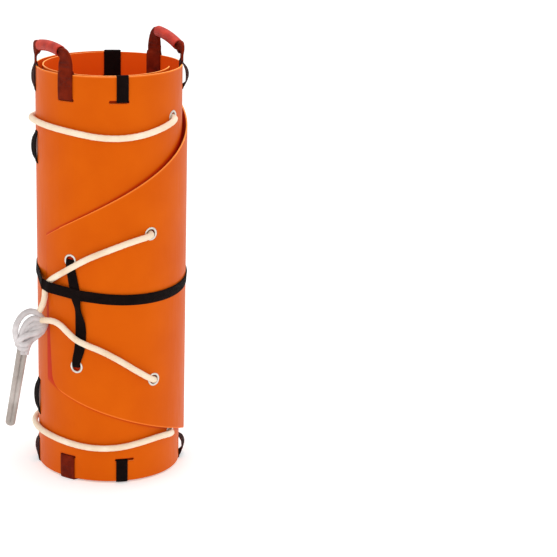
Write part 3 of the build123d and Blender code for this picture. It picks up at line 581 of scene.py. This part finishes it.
def braid(line, diameter, start_turn=0.0):
    """Rings of points round a line, raised and dipped as a braid, with their number and their middles."""
    line = even_steps(line, BRAID_STEP)
    ways = directions(line)
    side = np.cross(ways[0], (0.0, 0.0, 1.0))
    if np.linalg.norm(side) < 0.1:
        side = np.cross(ways[0], (1.0, 0.0, 0.0))
    turns = np.linspace(0, 2 * math.pi, BRAID_SIDES, endpoint=False)
    points = []
    for spot, way, reach in zip(line, ways, distances(line)):
        side = side - way * side.dot(way)
        side /= np.linalg.norm(side)
        other = np.cross(way, side)
        wind = 2 * math.pi * reach / LAY_LENGTH * STRANDS / 2
        right = (STRANDS * turns + wind + start_turn) / 2
        left = (STRANDS * turns - wind) / 2
        rise = np.maximum(
            np.abs(np.cos(right)) * (1 - CROSSING + CROSSING * np.cos(left)),
            np.abs(np.cos(left)) * (1 - CROSSING - CROSSING * np.cos(right)),
        )
        radius = (diameter / 2 - BRAID_DEPTH * (1 - rise))[:, None]
        points.append(spot + radius * (np.cos(turns)[:, None] * side + np.sin(turns)[:, None] * other))
    return np.concatenate(points), len(line), line


def rope(name, route, node, diameter=ROPE, finish=orange_lit_rope):
    """A braided rope along a route, standing for a CAD node."""
    points, rings, path = braid(route_line(name, route), diameter)
    item = piece(name, points, ring_faces(rings, BRAID_SIDES), finish, nodes=[node])


# %% [markdown]
# The two edge ropes lie round the front of the drum, from an eyelet at the right to one hidden at the
# back left. The tow rope comes out of one eyelet of the flap, passes under the closure strap to the
# knot at the left, and goes back to the lower eyelet.

# %% Rope routes
UPPER_EDGE = [
    (59, 0.146, 0.818), (59, 0.1635, 0.818), (56, 0.1732, 0.8155), (50, 0.174, 0.809), (40, 0.172, 0.8005),
    (25, 0.1717, 0.7915), (9, 0.1718, 0.7875), (-7, 0.1716, 0.7895), (-22, 0.1718, 0.796),
    (-38, 0.1716, 0.801), (-54, 0.1718, 0.804), (-69, 0.1716, 0.805), (-84, 0.1718, 0.803),
    (-97, 0.1719, 0.799), (-108, 0.1726, 0.796), (-116, 0.1744, 0.7945), (-121.5, 0.1725, 0.794),
    (-123.5, 0.163, 0.794), (-123.6, 0.1485, 0.794),
]
LOWER_EDGE = [
    (59, 0.146, 0.091), (59, 0.1635, 0.091), (56, 0.1732, 0.0915), (50, 0.174, 0.0935), (42, 0.172, 0.095),
    (26, 0.1717, 0.091), (9, 0.1718, 0.0835), (-7, 0.1716, 0.081), (-22, 0.1718, 0.083),
    (-39, 0.1716, 0.0875), (-57, 0.1718, 0.0905), (-72, 0.1716, 0.0905), (-87, 0.1718, 0.0885),
    (-99, 0.1719, 0.086), (-109, 0.1726, 0.084), (-116, 0.1744, 0.083), (-121.5, 0.1725, 0.0825),
    (-123.5, 0.163, 0.0825), (-123.6, 0.1485, 0.0825),
]
TOW_UPPER = [
    (32.3, 0.1629, 0.5725), (32.3, 0.1744, 0.5725), (29.2, 0.1831, 0.5713), (24.2, 0.1826, 0.5675),
    (14.5, 0.18, 0.56), (1, 0.1786, 0.5445), (-13.5, 0.1782, 0.5255), (-25, 0.1786, 0.504),
    (-36, 0.177, 0.482), (-46, 0.1746, 0.463), (-52.5, 0.1735, 0.4465), (-54.8, 0.1733, 0.43),
    (-54.6, 0.1744, 0.415), (-55, 0.1775, 0.401), (-56.5, 0.181, 0.388), (-58.5, 0.184, 0.377),
]
TOW_LOWER = [
    (35.7, 0.1631, 0.2355), (35.65, 0.1746, 0.2356), (32.6, 0.1833, 0.2395), (28, 0.1828, 0.248),
    (20, 0.1802, 0.265), (8, 0.1788, 0.291), (-5, 0.1788, 0.314), (-16, 0.18, 0.326), (-24, 0.1806, 0.336),
    (-30.5, 0.1796, 0.35), (-37, 0.1782, 0.364), (-44, 0.1785, 0.3685), (-51, 0.1805, 0.3645),
    (-57.5, 0.1835, 0.361),
]


def round_roll(rows):
    """A route whose rows give bearing, radius and height."""
    return [about_axis(*row) for row in rows]


# %% [markdown]
# ## The knot and the doubled tail
#
# The tow rope's middle is gathered into a loose overhand loop, and its doubled end hangs below. One
# strand makes a wide ring at the left and three nest inside it, one crosses in front, one runs down
# behind, and two wraps draw them together at the neck. Each is a braid on a curve of its own, set one
# behind the other so that they cross without cutting through.

# %% Knot strands
KNOT_PLANE = -0.100


def in_knot_plane(points):
    """Points given across, up and towards the viewer, all in metres, beside the roll."""
    return [Vector((across, KNOT_PLANE - front, RIM_LIFT + up)) for across, up, front in points]


KNOT_STRANDS = [
    [
        (-0.1458, 0.3592, -0.006), (-0.1522, 0.3711, -0.001), (-0.1631, 0.3809, 0.002),
        (-0.1774, 0.3833, 0.0035), (-0.1924, 0.3744, 0.0035), (-0.2031, 0.3592, 0.0035),
        (-0.2087, 0.3422, 0.003), (-0.2086, 0.3242, 0.002), (-0.2031, 0.3071, 0.0),
        (-0.1975, 0.2926, -0.001), (-0.1959, 0.2808, -0.001),
    ],
    [
        (-0.1446, 0.3575, -0.004), (-0.1554, 0.365, 0.004), (-0.1677, 0.3679, 0.0065),
        (-0.1798, 0.3602, 0.0065), (-0.1885, 0.3465, 0.004), (-0.1947, 0.331, 0.001),
        (-0.195, 0.3118, 0.0), (-0.193, 0.2929, 0.0), (-0.1916, 0.2811, 0.0),
    ],
    [
        (-0.1435, 0.354, -0.004), (-0.1544, 0.356, 0.003), (-0.1666, 0.355, 0.005),
        (-0.1778, 0.3482, 0.005), (-0.1856, 0.3349, 0.003), (-0.1904, 0.3189, 0.0),
        (-0.1909, 0.2997, -0.001), (-0.191, 0.2808, -0.001),
    ],
    [
        (-0.1424, 0.3496, -0.003), (-0.1522, 0.347, 0.004), (-0.1644, 0.3439, 0.006),
        (-0.1757, 0.3358, 0.005), (-0.1836, 0.3219, 0.002), (-0.1874, 0.3071, 0.0),
        (-0.1886, 0.2926, -0.001), (-0.1894, 0.2808, -0.001),
    ],
    [
        (-0.1413, 0.3513, -0.005), (-0.1434, 0.343, 0.002), (-0.1533, 0.3376, 0.009),
        (-0.1654, 0.334, 0.013), (-0.1799, 0.3306, 0.0135), (-0.193, 0.3237, 0.011),
        (-0.2014, 0.3123, 0.005), (-0.2038, 0.3022, -0.004),
    ],
    [
        (-0.1426, 0.3515, -0.008), (-0.1448, 0.3372, -0.005), (-0.156, 0.3265, -0.001),
        (-0.168, 0.3187, 0.0015), (-0.177, 0.3094, 0.002), (-0.1831, 0.2977, 0.0), (-0.186, 0.2811, 0.0),
    ],
    [
        (-0.1721, 0.3187, 0.001), (-0.1769, 0.3115, 0.0095), (-0.188, 0.3071, 0.0125),
        (-0.1991, 0.3085, 0.0085), (-0.2048, 0.313, 0.0),
    ],
    [
        (-0.178, 0.3061, -0.003), (-0.1817, 0.2989, 0.007), (-0.1903, 0.2952, 0.0095),
        (-0.1989, 0.2983, 0.006), (-0.2019, 0.3026, -0.003),
    ],
]
TAIL_TOP = Vector((-0.1935, 0.29))
TAIL_FOOT = Vector((-0.2225, 0.122))
TAIL_HALF = 0.0061
TAIL_FOOT_HALF = 0.0048
TAIL_DROP = 1.2
TAIL_ROPE = 0.9 * ROPE
STRAND_TURN = 1.7


# %% Tail and knot
def tail_route():
    """The doubled tail: down one side, round its foot and up the other."""
    down = (TAIL_FOOT - TAIL_TOP).normalized()
    side = Vector((down.y, -down.x))
    length = (TAIL_FOOT - TAIL_TOP).length
    left = []
    right = []
    for share in (0.0, 0.2, 0.45, 0.7, 0.9, 1.0):
        reach = share * length
        half = TAIL_HALF + (TAIL_FOOT_HALF - TAIL_HALF) * share
        left.append(TAIL_TOP + side * half + down * reach)
        right.append(TAIL_TOP - side * half + down * reach)
    foot = [TAIL_FOOT + (down * TAIL_DROP + side * turn) * TAIL_FOOT_HALF for turn in (1, -1)]
    return in_knot_plane([(spot.x, spot.y, 0.0) for spot in left + foot + right[::-1]])


def knotted(name, routes, node):
    """Several braids joined into one piece, each with its pattern turned a little further."""
    points = []
    faces = []
    for number, route in enumerate(routes):
        line = route_line(f"{name}_{number}", in_knot_plane(route))
        rings, count, _ = braid(line, ROPE, number * STRAND_TURN)
        faces += [tuple(len(points) + corner for corner in face) for face in ring_faces(count, BRAID_SIDES)]
        points += list(rings)
    return piece(name, points, faces, knot_rope, nodes=[node])


# %% Knot and ropes
knot = knotted("knot", KNOT_STRANDS, "rope_knot")
rope("upper_edge_braid", round_roll(UPPER_EDGE), "upper_edge_rope")
rope("lower_edge_braid", round_roll(LOWER_EDGE), "lower_edge_rope")
rope("tow_upper_braid", round_roll(TOW_UPPER), "tow_rope_upper")
rope("tow_lower_braid", round_roll(TOW_LOWER), "tow_rope_lower")
rope("tail_braid", tail_route(), "rope_tail", diameter=TAIL_ROPE, finish=greyer_rope)


# %% [markdown]
# ## Straps
#
# A strap is a flat section carried along a line. The section is a rounded oblong, a little thicker at
# both edges. Each station says where the strap is, which way its breadth lies, and how broad and thick
# it is there, so the same helper makes a loop in a slot, a tight band and a gathered handle.


# %% Strap helper
SELVEDGE = 0.08
CREASE_HALF = 0.3
SECTION = [(share, 0.5 if abs(share) < 0.99 else 0.2) for share in np.linspace(-1.0, 1.0, 11)]
SECTION += [(-share, -level) for share, level in SECTION]
LAID = {}


def strap(
    name, stations, finish, nodes=(), body="root", closed=False, bend=None, step=0.002, crease=0.0
):
    """A strap through stations: place, breadth direction, width and thickness, all smoothed together."""
    rows = [tuple(place) + tuple(breadth) + (width, thick) for place, breadth, width, thick in stations]
    line = smooth_line(rows, step, closed)
    spots = line[:, :3]
    points = []
    uv = []
    LAID[name] = []
    for row, way, along in zip(line, directions(spots, closed), distances(spots)):
        spot, broad, width, thick = row[:3], row[3:6], row[6], row[7]
        broad = broad - way * broad.dot(way)
        broad /= np.linalg.norm(broad)
        thin = np.cross(way, broad)
        LAID[name].append((along, spot, broad, thin, thick / 2, bend))
        fold = crease * max(0.0, 1 - width / HANDLE_WEB)
        for share, level in SECTION:
            across = share * width / 2
            height = level * thick * (1 + SELVEDGE * (abs(share) > 0.75))
            height *= 1 - fold * math.exp(-((share / CREASE_HALF) ** 2))
            bow = np.array(bend(across)) if bend else 0.0
            points.append(spot + broad * across + thin * height + bow)
            uv.append((along, across))
    return piece(name, points, ring_faces(len(line), len(SECTION), closed), finish, body, nodes, uv)


def follow_wrap(circle, bearing):
    """How a strap bows across its breadth to lie on a wrap."""
    inward = -outward_at(bearing)

    def bow(across):
        return inward * (across * across / (2 * circle[1]))

    return bow


# %% [markdown]
# The straps are sewn with thick thread. A stitch is a small pointed lens on the strap's face, so a row
# of them catches the light as sewing does. The strap helper keeps where every strap lies, and a row is
# given by how far along and across the strap it starts and stops.

# %% Stitches
STITCH_PITCH = 0.0031
STITCH_HALF = (0.00105, 0.00042, 0.00038)
STITCH_FACES = [(0, 2, 4), (0, 4, 3), (0, 3, 5), (0, 5, 2), (1, 4, 2), (1, 3, 4), (1, 5, 3), (1, 2, 5)]


def on_strap(name, along, across, side):
    """A point on a strap's face, and the face's own direction out; along is from the far end if below 0."""
    marks = [row[0] for row in LAID[name]]
    if along < 0:
        along += marks[-1]
    number = min(int(np.searchsorted(marks, along)), len(marks) - 1)
    _, spot, broad, thin, half, bend = LAID[name][number]
    mark_before, spot_before = LAID[name][max(0, number - 1)][:2]
    share = (along - mark_before) / max(1e-9, marks[number] - mark_before)
    spot = spot_before + (spot - spot_before) * share + broad * across + thin * half * side
    if bend:
        spot = spot + np.array(bend(across))
    return spot, thin * side


def sew(name, strap_name, seams, side, body="root"):
    """Rows of stitches on a strap, each row between two places given along and across the strap."""
    points = []
    faces = []
    for first, last in seams:
        start, stop = (on_strap(strap_name, *end, side)[0] for end in (first, last))
        count = max(1, round(math.dist(first, last) / STITCH_PITCH))
        for share in (np.arange(count) + 0.5) / count:
            place = [low + (high - low) * share for low, high in zip(first, last)]
            spot, up = on_strap(strap_name, *place, side)
            run = stop - start
            run = run - up * run.dot(up)
            run /= np.linalg.norm(run)
            faces += [tuple(len(points) + corner for corner in corners) for corners in STITCH_FACES]
            for way, half in zip((run, np.cross(up, run), up), STITCH_HALF):
                points += [spot + way * half, spot - way * half]
    return piece(name, points, faces, thread.material, body)


def box_seams(start, stop, half):
    """A box of stitches with a cross in it, between two places along a strap."""
    corners = [(start, -half), (start, half), (stop, half), (stop, -half)]
    seams = [(corners[number], corners[(number + 1) % 4]) for number in range(4)]
    return seams + [(corners[0], corners[2]), (corners[1], corners[3])]


# %% [markdown]
# A loop goes out through a slot, along the sheet and over its rim, and back inside. Its line is drawn
# in the upright plane through the slot: first how far out of the sheet, then how high. The rows of the
# rim straps give wrap, bearing, width, bow and how much higher than the rim they pass.


# %% Loops in the slots
SIDE_LINE = HALF_SHEET + WEB_GAP + WEB_THICK / 2
CORNER = 0.0004
LOOP_BEND = 1.6 * WEB_THICK
SHOULDER = 0.75
SIDE_BEARING = -79.0
SIDE_BOW = 0.006
SIDE_TURN = 15.0


def loop_stations(circle, bearing, width, profile, turn=0.0):
    """Stations of a loop from its profile; the part that stands off the sheet is turned by some degrees."""
    stations = []
    farthest = max(out for out, _ in profile)
    for out, up in profile:
        share = max(0.0, out - SIDE_LINE) / (farthest - SIDE_LINE)
        breadth = Matrix.Rotation(math.radians(turn * share), 3, "Z") @ along_at(bearing)
        stations.append((on_circle(circle, bearing, up, out), breadth, width, WEB_THICK))
    return stations


def bowed(first, last, bow):
    """The run of a profile on the outside of the sheet between two levels, bowed out by a little."""
    middle = (first + last) / 2
    shoulder = SIDE_LINE + SHOULDER * bow
    return [(shoulder, (middle + first) / 2), (SIDE_LINE + bow, middle), (shoulder, (middle + last) / 2)]


def through_slot(level, bend, corner):
    """A profile's turn through a slot, from outside in; at an upper end, bend and corner are negative."""
    inset = SIDE_LINE - abs(corner)
    return [
        (SIDE_LINE, level + bend), (inset, level + corner), (0.0, level), (-inset, level + corner),
        (-SIDE_LINE, level + bend),
    ]


def loop_profile(low, high, bow):
    """A closed loop between two levels, from the middle of its lower end."""
    back, back_corner, *start = reversed(through_slot(low, LOOP_BEND, CORNER))
    end = through_slot(high, -LOOP_BEND, -CORNER)
    return start + bowed(low, high, bow) + end + [(-SIDE_LINE, (low + high) / 2), back, back_corner]


def loop(name, circle, bearing, width, low, high, bow, turn=0.0):
    """A closed loop of black webbing that stands for the node of the same name."""
    stations = loop_stations(circle, bearing, width, loop_profile(low, high, bow), turn)
    bend = follow_wrap(circle, bearing)
    strap(name + "_weave", stations, black_webbing, [name], closed=True, bend=bend)


RIM_STRAPS = {
    "front": (DRUM_FRONT, 10.4, CROSS_WEB, 0.0005, 0.0),
    "back": (DRUM_BACK, 180.0, HANDLE_WEB, 0.001, 0.002),
}
for name, (circle, at, width, bow, rise) in RIM_STRAPS.items():
    over = TOP_RIM + WEB_GAP + WEB_THICK / 2 + rise
    for end, low, high in (("top", TOP_SLOT, over), ("bottom", RIM_LIFT - WEB_THICK / 2, BOTTOM_SLOT)):
        loop(f"cross_strap_{name}_{end}", circle, at, width, low, high, bow)
for name, low, high in (("upper", 0.706, 0.775), ("lower", 0.117, 0.198)):
    loop(
        f"side_strap_{name}", DRUM_FRONT, SIDE_BEARING, CROSS_WEB, RIM_LIFT + low, RIM_LIFT + high, SIDE_BOW,
        SIDE_TURN,
    )

# %% [markdown]
# ## The handles
#
# Each handle is one doubled strap. It starts in two loops through the slots, leaves the rim as a flat
# doubled neck, gathers as it rises, and runs through the grip. The neck is where it folds, so the
# strap is made as one piece that turns smoothly from the roll to the handle. A leg's row gives its
# place, wrap, bearing, bow and turn in degrees.

# %% Handle sizes
GRIP_LENGTH = 0.094
GRIP_BOW = 0.004
GRIP_RISE = 0.046
NECK_HEIGHT = 0.012
FOLD_DEPTH = 0.011
GATHER_HEIGHT = 0.027
CORE_HEIGHT = 0.0144
CORE_THICK = 0.0122
LIE_LIFT = 0.0098
NECK_WEB = HANDLE_WEB - 0.002
STRAIGHT_GAP = 0.002
CREASE = 0.6
GATHER_START = 0.45
GATHER_POWER = 1.3
RISE_START = 0.2
NECK_PULL = 0.62
GRIP_PULL = 0.55
GRIP_PULL_MORE = 0.003
TURN_END = 0.7
TACKS = (0.009, 0.018)
TACK_ROWS = (0.0, 0.0016, 0.0032)
TACK_HALF = 0.0145
TOP_TILT = {"left": 0.0, "right": 11.0}
HANDLES = {
    "left": [("front", DRUM_FRONT, -35.0, 0.0008, 0.0), ("side", DRUM_FRONT, -86.0, 0.0038, 10.0)],
    "right": [("side", DRUM_BACK, 93.0, 0.0105, -14.0), ("back", DRUM_BACK, 141.5, 0.002, 0.0)],
}


# %% Lines of a handle
def chord_of(legs):
    """The straight line between a handle's two legs: its middle, direction, inward side and length."""
    first, second = (on_circle(circle, bearing) for _, circle, bearing, _, _ in legs)
    direction = (second - first).normalized()
    inward = Vector((-direction.y, direction.x, 0))
    middle = (first + second) / 2
    if inward.dot(middle) > 0:
        direction = -direction
        inward = -inward
    return middle, direction, inward, (second - first).length


def handle_stations(span, rise, lift, foot, tilt=0.0):
    """Places along the doubled strap in the handle's plane: along, up, out, width, thickness, own facing."""
    lean_all = Matrix.Rotation(math.radians(tilt), 2)
    half = GRIP_LENGTH / 2
    gather = rise - GATHER_HEIGHT
    lean = 2 * math.atan(2 * GRIP_BOW / GRIP_LENGTH)
    doubled = 2 * WEB_THICK
    rows = []
    for side in (-1, 1):
        start = Vector((side * span / 2, gather))
        stop = Vector((0, rise)) + lean_all @ Vector((side * half, 0))
        first_pull = start + Vector((0, NECK_PULL * GATHER_HEIGHT))
        arrive = lean_all @ Vector((side * math.cos(lean), -math.sin(lean)))
        last_pull = stop + arrive * (GRIP_PULL * (span / 2 - half) + GRIP_PULL_MORE)
        straight = [level for level in foot if level < gather - STRAIGHT_GAP]
        leg = [(side * span / 2, level, 0.0, NECK_WEB, doubled, 1.0) for level in straight]
        for step in np.linspace(0.0, 1.0, 9):
            back = 1 - step
            spot = (
                start * back**3 + first_pull * (3 * back**2 * step) + last_pull * (3 * back * step**2)
                + stop * step**3
            )
            gathered = max(0.0, (step - GATHER_START) / (1 - GATHER_START)) ** GATHER_POWER
            width = NECK_WEB + (CORE_HEIGHT - NECK_WEB) * gathered
            deep = doubled + (CORE_THICK - doubled) * step
            late = max(0.0, (step - RISE_START) / (1 - RISE_START))
            resting = deep / 2 - WEB_THICK if lift else 0.0
            out = resting + (lift - resting) * late * late * (3 - 2 * late)
            leg.append((spot.x, spot.y, out, width, deep, max(0.0, 1 - step / TURN_END)))
        rows.append(leg)
    across = []
    for place in (-0.6, -0.3, 0.0, 0.3, 0.6):
        spot = lean_all @ Vector((place * half, GRIP_BOW * (1 - place * place)))
        across.append((spot.x, rise + spot.y, lift, CORE_HEIGHT, CORE_THICK, 0.0))
    return rows[0] + across + rows[1][::-1]


# %% Strap of a handle
def handle_strap(node, hinge, along, up, rows, body, facings=None):
    """The doubled strap of one handle and its tacks, turning from the roll to the handle."""
    out = along.cross(up)
    places = [hinge + along * row[0] + up * row[1] + out * row[2] for row in rows]
    stations = []
    for number, (place, row) in enumerate(zip(places, rows)):
        before = places[max(0, number - 1)]
        after = places[min(len(places) - 1, number + 1)]
        breadth = out.cross((after - before).normalized())
        if facings:
            facing = facings[row[0] > 0]
            breadth = breadth.lerp(facing if facing.dot(breadth) > 0 else -facing, row[5])
        stations.append((place, breadth, row[3], row[4]))
    name = body + "_weave"
    parts = [strap(name, stations, brown_webbing, [node], body=None, crease=CREASE)]
    places = [end * (first + row) for end in (1, -1) for first in TACKS for row in TACK_ROWS]
    tacks = [((place, -TACK_HALF), (place, TACK_HALF)) for place in places]
    for number, face in enumerate((1, -1)):
        parts.append(sew(f"{name}_tacks_{number}", name, tacks, face, None))
    for part in parts:
        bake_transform(part)


# %% Four handles
UP = Vector((0, 0, 1))
TOP_FOOT = (-0.0065, -0.003, 0.001)
BOTTOM_FOOT = (-0.006, -0.002, 0.003, 0.008, 0.013)
for side, legs in HANDLES.items():
    middle, direction, inward, span = chord_of(legs)
    in_order = sorted(legs, key=lambda leg: on_circle(leg[1], leg[2]).dot(direction))
    facings = [along_at(leg[2]) for leg in in_order]
    hinge = middle + UP * (TOP_RIM + NECK_HEIGHT)
    rows = handle_stations(span, GRIP_RISE - NECK_HEIGHT, 0.0, TOP_FOOT, TOP_TILT[side])
    handle_strap(f"handle_webbing_top_{side}", hinge, direction, UP, rows, f"handle_top_{side}", facings)
    hinge = middle + inward * FOLD_DEPTH + UP * WEB_THICK
    rows = handle_stations(span, GRIP_RISE, LIE_LIFT, BOTTOM_FOOT)
    handle_strap(f"handle_webbing_bottom_{side}", hinge, direction, inward, rows, f"handle_bottom_{side}")

# %% [markdown]
# The leg loops are single webbing. At the top both strips meet above the rim and end inside the
# doubled neck. At the bottom the loop passes under the rim, where the roll stands on it.

# %% Leg loops
OUTER = 1
INNER = -1
SLOT_BEND = 0.0035
SLOT_CORNER = 0.0006
NECK_HALF = 0.0011
NECK_TOP = TOP_RIM + 0.0075
SPREAD_HALF = 0.0018
SPREAD_TOP = TOP_RIM + 0.004
SOLE = WEB_THICK / 2
SOLE_END = -0.014
FOLD_LEVEL = RIM_LIFT - 0.0011
SEAM_HALF = 0.0145


def top_leg_profile(bow):
    """A loop through an upper slot: up both faces of the sheet, over the rim and into the neck."""
    return [
        (NECK_HALF, NECK_TOP), (SPREAD_HALF, SPREAD_TOP), (SIDE_LINE, TOP_RIM),
        *bowed(TOP_RIM, TOP_SLOT, bow), *through_slot(TOP_SLOT, SLOT_BEND, SLOT_CORNER),
        (-SIDE_LINE, (TOP_SLOT + TOP_RIM) / 2), (-SIDE_LINE, TOP_RIM), (-SPREAD_HALF, SPREAD_TOP),
        (-NECK_HALF, NECK_TOP),
    ]


def bottom_leg_profile(bow):
    """A loop through a lower slot: under the rim on the outside, and back inside on top of itself."""
    return [
        (SOLE_END, SOLE), (-0.006, SOLE), (0.0, SOLE), (SIDE_LINE - SLOT_CORNER, SOLE + CORNER),
        (SIDE_LINE, SOLE + SLOT_BEND), *bowed(RIM_LIFT, BOTTOM_SLOT, bow),
        *through_slot(BOTTOM_SLOT, -SLOT_BEND, -SLOT_CORNER), (-SIDE_LINE, (BOTTOM_SLOT + RIM_LIFT) / 2),
        (-SIDE_LINE, RIM_LIFT + 0.003), (-SIDE_LINE - 0.0012, RIM_LIFT), (-0.007, FOLD_LEVEL),
        (SOLE_END, FOLD_LEVEL),
    ]


LEG_ENDS = (
    ("top", top_leg_profile, (0.0145, 0.0325), OUTER), ("bottom", bottom_leg_profile, (0.026, 0.044), INNER),
)
for side, legs in HANDLES.items():
    for place, circle, at, bow, turn in legs:
        # The legs at the sides take the darker copy of the brown webbing, as painted shade.
        finish = shaded_webbing if place == "side" else brown_webbing
        for end, profile, seam, face in LEG_ENDS:
            name = f"leg_{end}_{side}_{place}"
            stations = loop_stations(circle, at, HANDLE_WEB, profile(bow), turn)
            strap(f"{name}_weave", stations, finish, [name], bend=follow_wrap(circle, at))
            sew(f"{name}_seam", f"{name}_weave", box_seams(*seam, SEAM_HALF), face)

# %% [markdown]
# ## The tow webbing and the closure strap
#
# The tow webbing runs down the flap between its two left eyelets and narrows where it twists once. Its
# rows give bearing, radius, height, pitch and twist in degrees, width and thickness.
# The closure strap is pulled tight round everything, so its line is the outer hull of what it holds,
# tilted a little because the strap isn't level.

# %% Tow webbing
TOW_WEB = [
    (-30.4, 0.1632, 0.511, 90, 0, 0.016, 0.0044), (-30.4, 0.1686, 0.5104, 70, 0, 0.0165, 0.0042),
    (-30.2, 0.171, 0.505, 20, 0, 0.018, 0.0034), (-29.2, 0.1699, 0.49, 0, 0, 0.022, 0.0022),
    (-27.0, 0.1697, 0.458, 0, 0, 0.024, 0.0022), (-25.2, 0.1697, 0.43, 0, 0, 0.023, 0.0022),
    (-23.3, 0.1725, 0.404, 0, 20, 0.017, 0.003), (-21.6, 0.1704, 0.372, 0, 0, 0.023, 0.0022),
    (-21.4, 0.1697, 0.34, 0, 0, 0.025, 0.0022), (-22.6, 0.1697, 0.31, 0, 0, 0.024, 0.0022),
    (-24.6, 0.1704, 0.287, 0, 0, 0.021, 0.0022), (-25.3, 0.1713, 0.275, -20, 0, 0.018, 0.0034),
    (-25.6, 0.1686, 0.2696, -70, 0, 0.0165, 0.0042), (-25.6, 0.1632, 0.269, -90, 0, 0.016, 0.0044),
]
stations = []
for at, radius, height, pitch, twist, width, thick in TOW_WEB:
    slope = math.radians(pitch)
    heading = Vector((0, 0, -1)) * math.cos(slope) + outward_at(at) * math.sin(slope)
    broad = Matrix.Rotation(math.radians(twist), 3, heading) @ along_at(at)
    stations.append((about_axis(at, radius, height), broad, width, thick))
strap("tow_webbing_weave", stations, black_webbing, ["tow_webbing"])

# %% Closure strap
CLOSURE_HEIGHT = 0.451
TILT_FRONT = 0.120
TILT_SIDE = -0.069
CLOSURE_WEB = 0.025
CLOSURE_THICK = 0.002
CLOSURE_STEP = 0.004
UNDER_CLOSURE = WEB_GAP + CLOSURE_THICK / 2
ROPE_UNDER = ((-47.0, 0.175), (-50.5, 0.174), (-54.0, 0.1736))
WEB_UNDER = ((-26.6, -0.0125), (-24.9, 0.0125))
WEB_UNDER_RADIUS = 0.1698
WRAP_STEP = 2.0


def round_points(circle, out, first, last):
    """Points along a wrap, as flat pairs."""
    marks = np.linspace(first, last, int(abs(last - first) / WRAP_STEP) + 2)
    return [tuple(on_circle(circle, mark, 0.0, out).xy) for mark in marks]


def ring_points(centre, reach, step):
    """Points all round a centre, as flat pairs."""
    return [tuple((centre + outward_at(turn) * reach).xy) for turn in range(0, 360, step)]


def hull(points):
    """The outline of a rubber band round flat points, anticlockwise."""
    points = sorted(set((round(x, 7), round(y, 7)) for x, y in points))

    def turns_left(first, second, x, y):
        return (second[0] - first[0]) * (y - first[1]) - (second[1] - first[1]) * (x - first[0]) > 0

    def half(ordered):
        chain = []
        for x, y in ordered:
            while len(chain) > 1 and not turns_left(chain[-2], chain[-1], x, y):
                chain.pop()
            chain.append((x, y))
        return chain[:-1]

    return half(points) + half(points[::-1])


clear = HALF_SHEET + UNDER_CLOSURE
held = round_points(FLAP_FRONT, clear, FLAP_END, 90) + round_points(FLAP_BACK, clear, 90, 270)
held += round_points(DRUM_FRONT, clear, 270, 290)
for at, radius in ROPE_UNDER:
    held += ring_points(about_axis(at, radius, 0), ROPE / 2 + UNDER_CLOSURE, 6)
for at, edge in WEB_UNDER:
    centre = about_axis(at, WEB_UNDER_RADIUS, 0) + along_at(at) * edge
    held += ring_points(centre, WEB_THICK / 2 + UNDER_CLOSURE, 12)
tilt = Vector((-TILT_SIDE, -TILT_FRONT, 1)).normalized()
stations = []
for x, y in hull(held):
    level = RIM_LIFT + CLOSURE_HEIGHT + TILT_FRONT * y + TILT_SIDE * x
    stations.append((Vector((x, y, level)), tilt, CLOSURE_WEB, CLOSURE_THICK))
strap(
    "closure_strap_weave", stations, black_webbing, ["closure_strap"], closed=True,
    step=CLOSURE_STEP,
)

# %% [markdown]
# ## Eyelets
#
# An eyelet is a tube through the sheet, rolled outwards at both ends. Its section is a half round lip
# on each face and a thin wall between, turned about the hole's axis. The lips bend with the sheet.

# %% Rolled eyelets
EYELET_BORE = 0.010
EYELET_RIM = 0.015
LIP = 0.0015
TUBE_WALL = 0.0009
FLAP_EYELETS = {
    "upper_right": (FLAP_FRONT, 30.9, 0.5725), "upper_left": (FLAP_FRONT, -31.6, 0.511),
    "lower_left": (FLAP_FRONT, -26.7, 0.269), "lower_right": (FLAP_FRONT, 34.3, 0.2355),
}
RIM_EYELETS = {
    "top_front": (DRUM_FRONT, 59.0, 0.818), "bottom_front": (DRUM_FRONT, 59.0, 0.091),
    "top_back": (FLAP_BACK, 237.5, 0.794), "bottom_back": (FLAP_BACK, 237.5, 0.0825),
}


def eyelet(name, circle, bearing, height, node):
    """A rolled eyelet that lies on its wrap."""
    half_round = np.linspace(0, math.pi, 9)
    middle = (EYELET_BORE + EYELET_RIM) / 2
    reach = (EYELET_RIM - EYELET_BORE) / 2
    section = [(middle - reach * math.cos(turn), HALF_SHEET + LIP * math.sin(turn)) for turn in half_round]
    section += [(EYELET_BORE + TUBE_WALL, HALF_SHEET), (EYELET_BORE + TUBE_WALL, -HALF_SHEET)]
    section += [(middle + reach * math.cos(turn), -HALF_SHEET - LIP * math.sin(turn)) for turn in half_round]
    spins = np.linspace(0, 2 * math.pi, 48, endpoint=False)
    points = []
    for spin in spins:
        for radius, out in section:
            turned = bearing + math.degrees(radius * math.cos(spin) / circle[1])
            points.append(on_circle(circle, turned, RIM_LIFT + height + radius * math.sin(spin), out))
    faces = ring_faces(len(spins), len(section), closed=True)
    piece(name, points, faces, metal.material, nodes=[node])


for group, table in (("flap", FLAP_EYELETS), ("rim", RIM_EYELETS)):
    for name, (circle, at, height) in table.items():
        eyelet(f"{group}_{name}_ring", circle, at, height, f"{group}_eyelet_{name}")

# %% [markdown]
# ## Finish
#

# %% Finish
import json
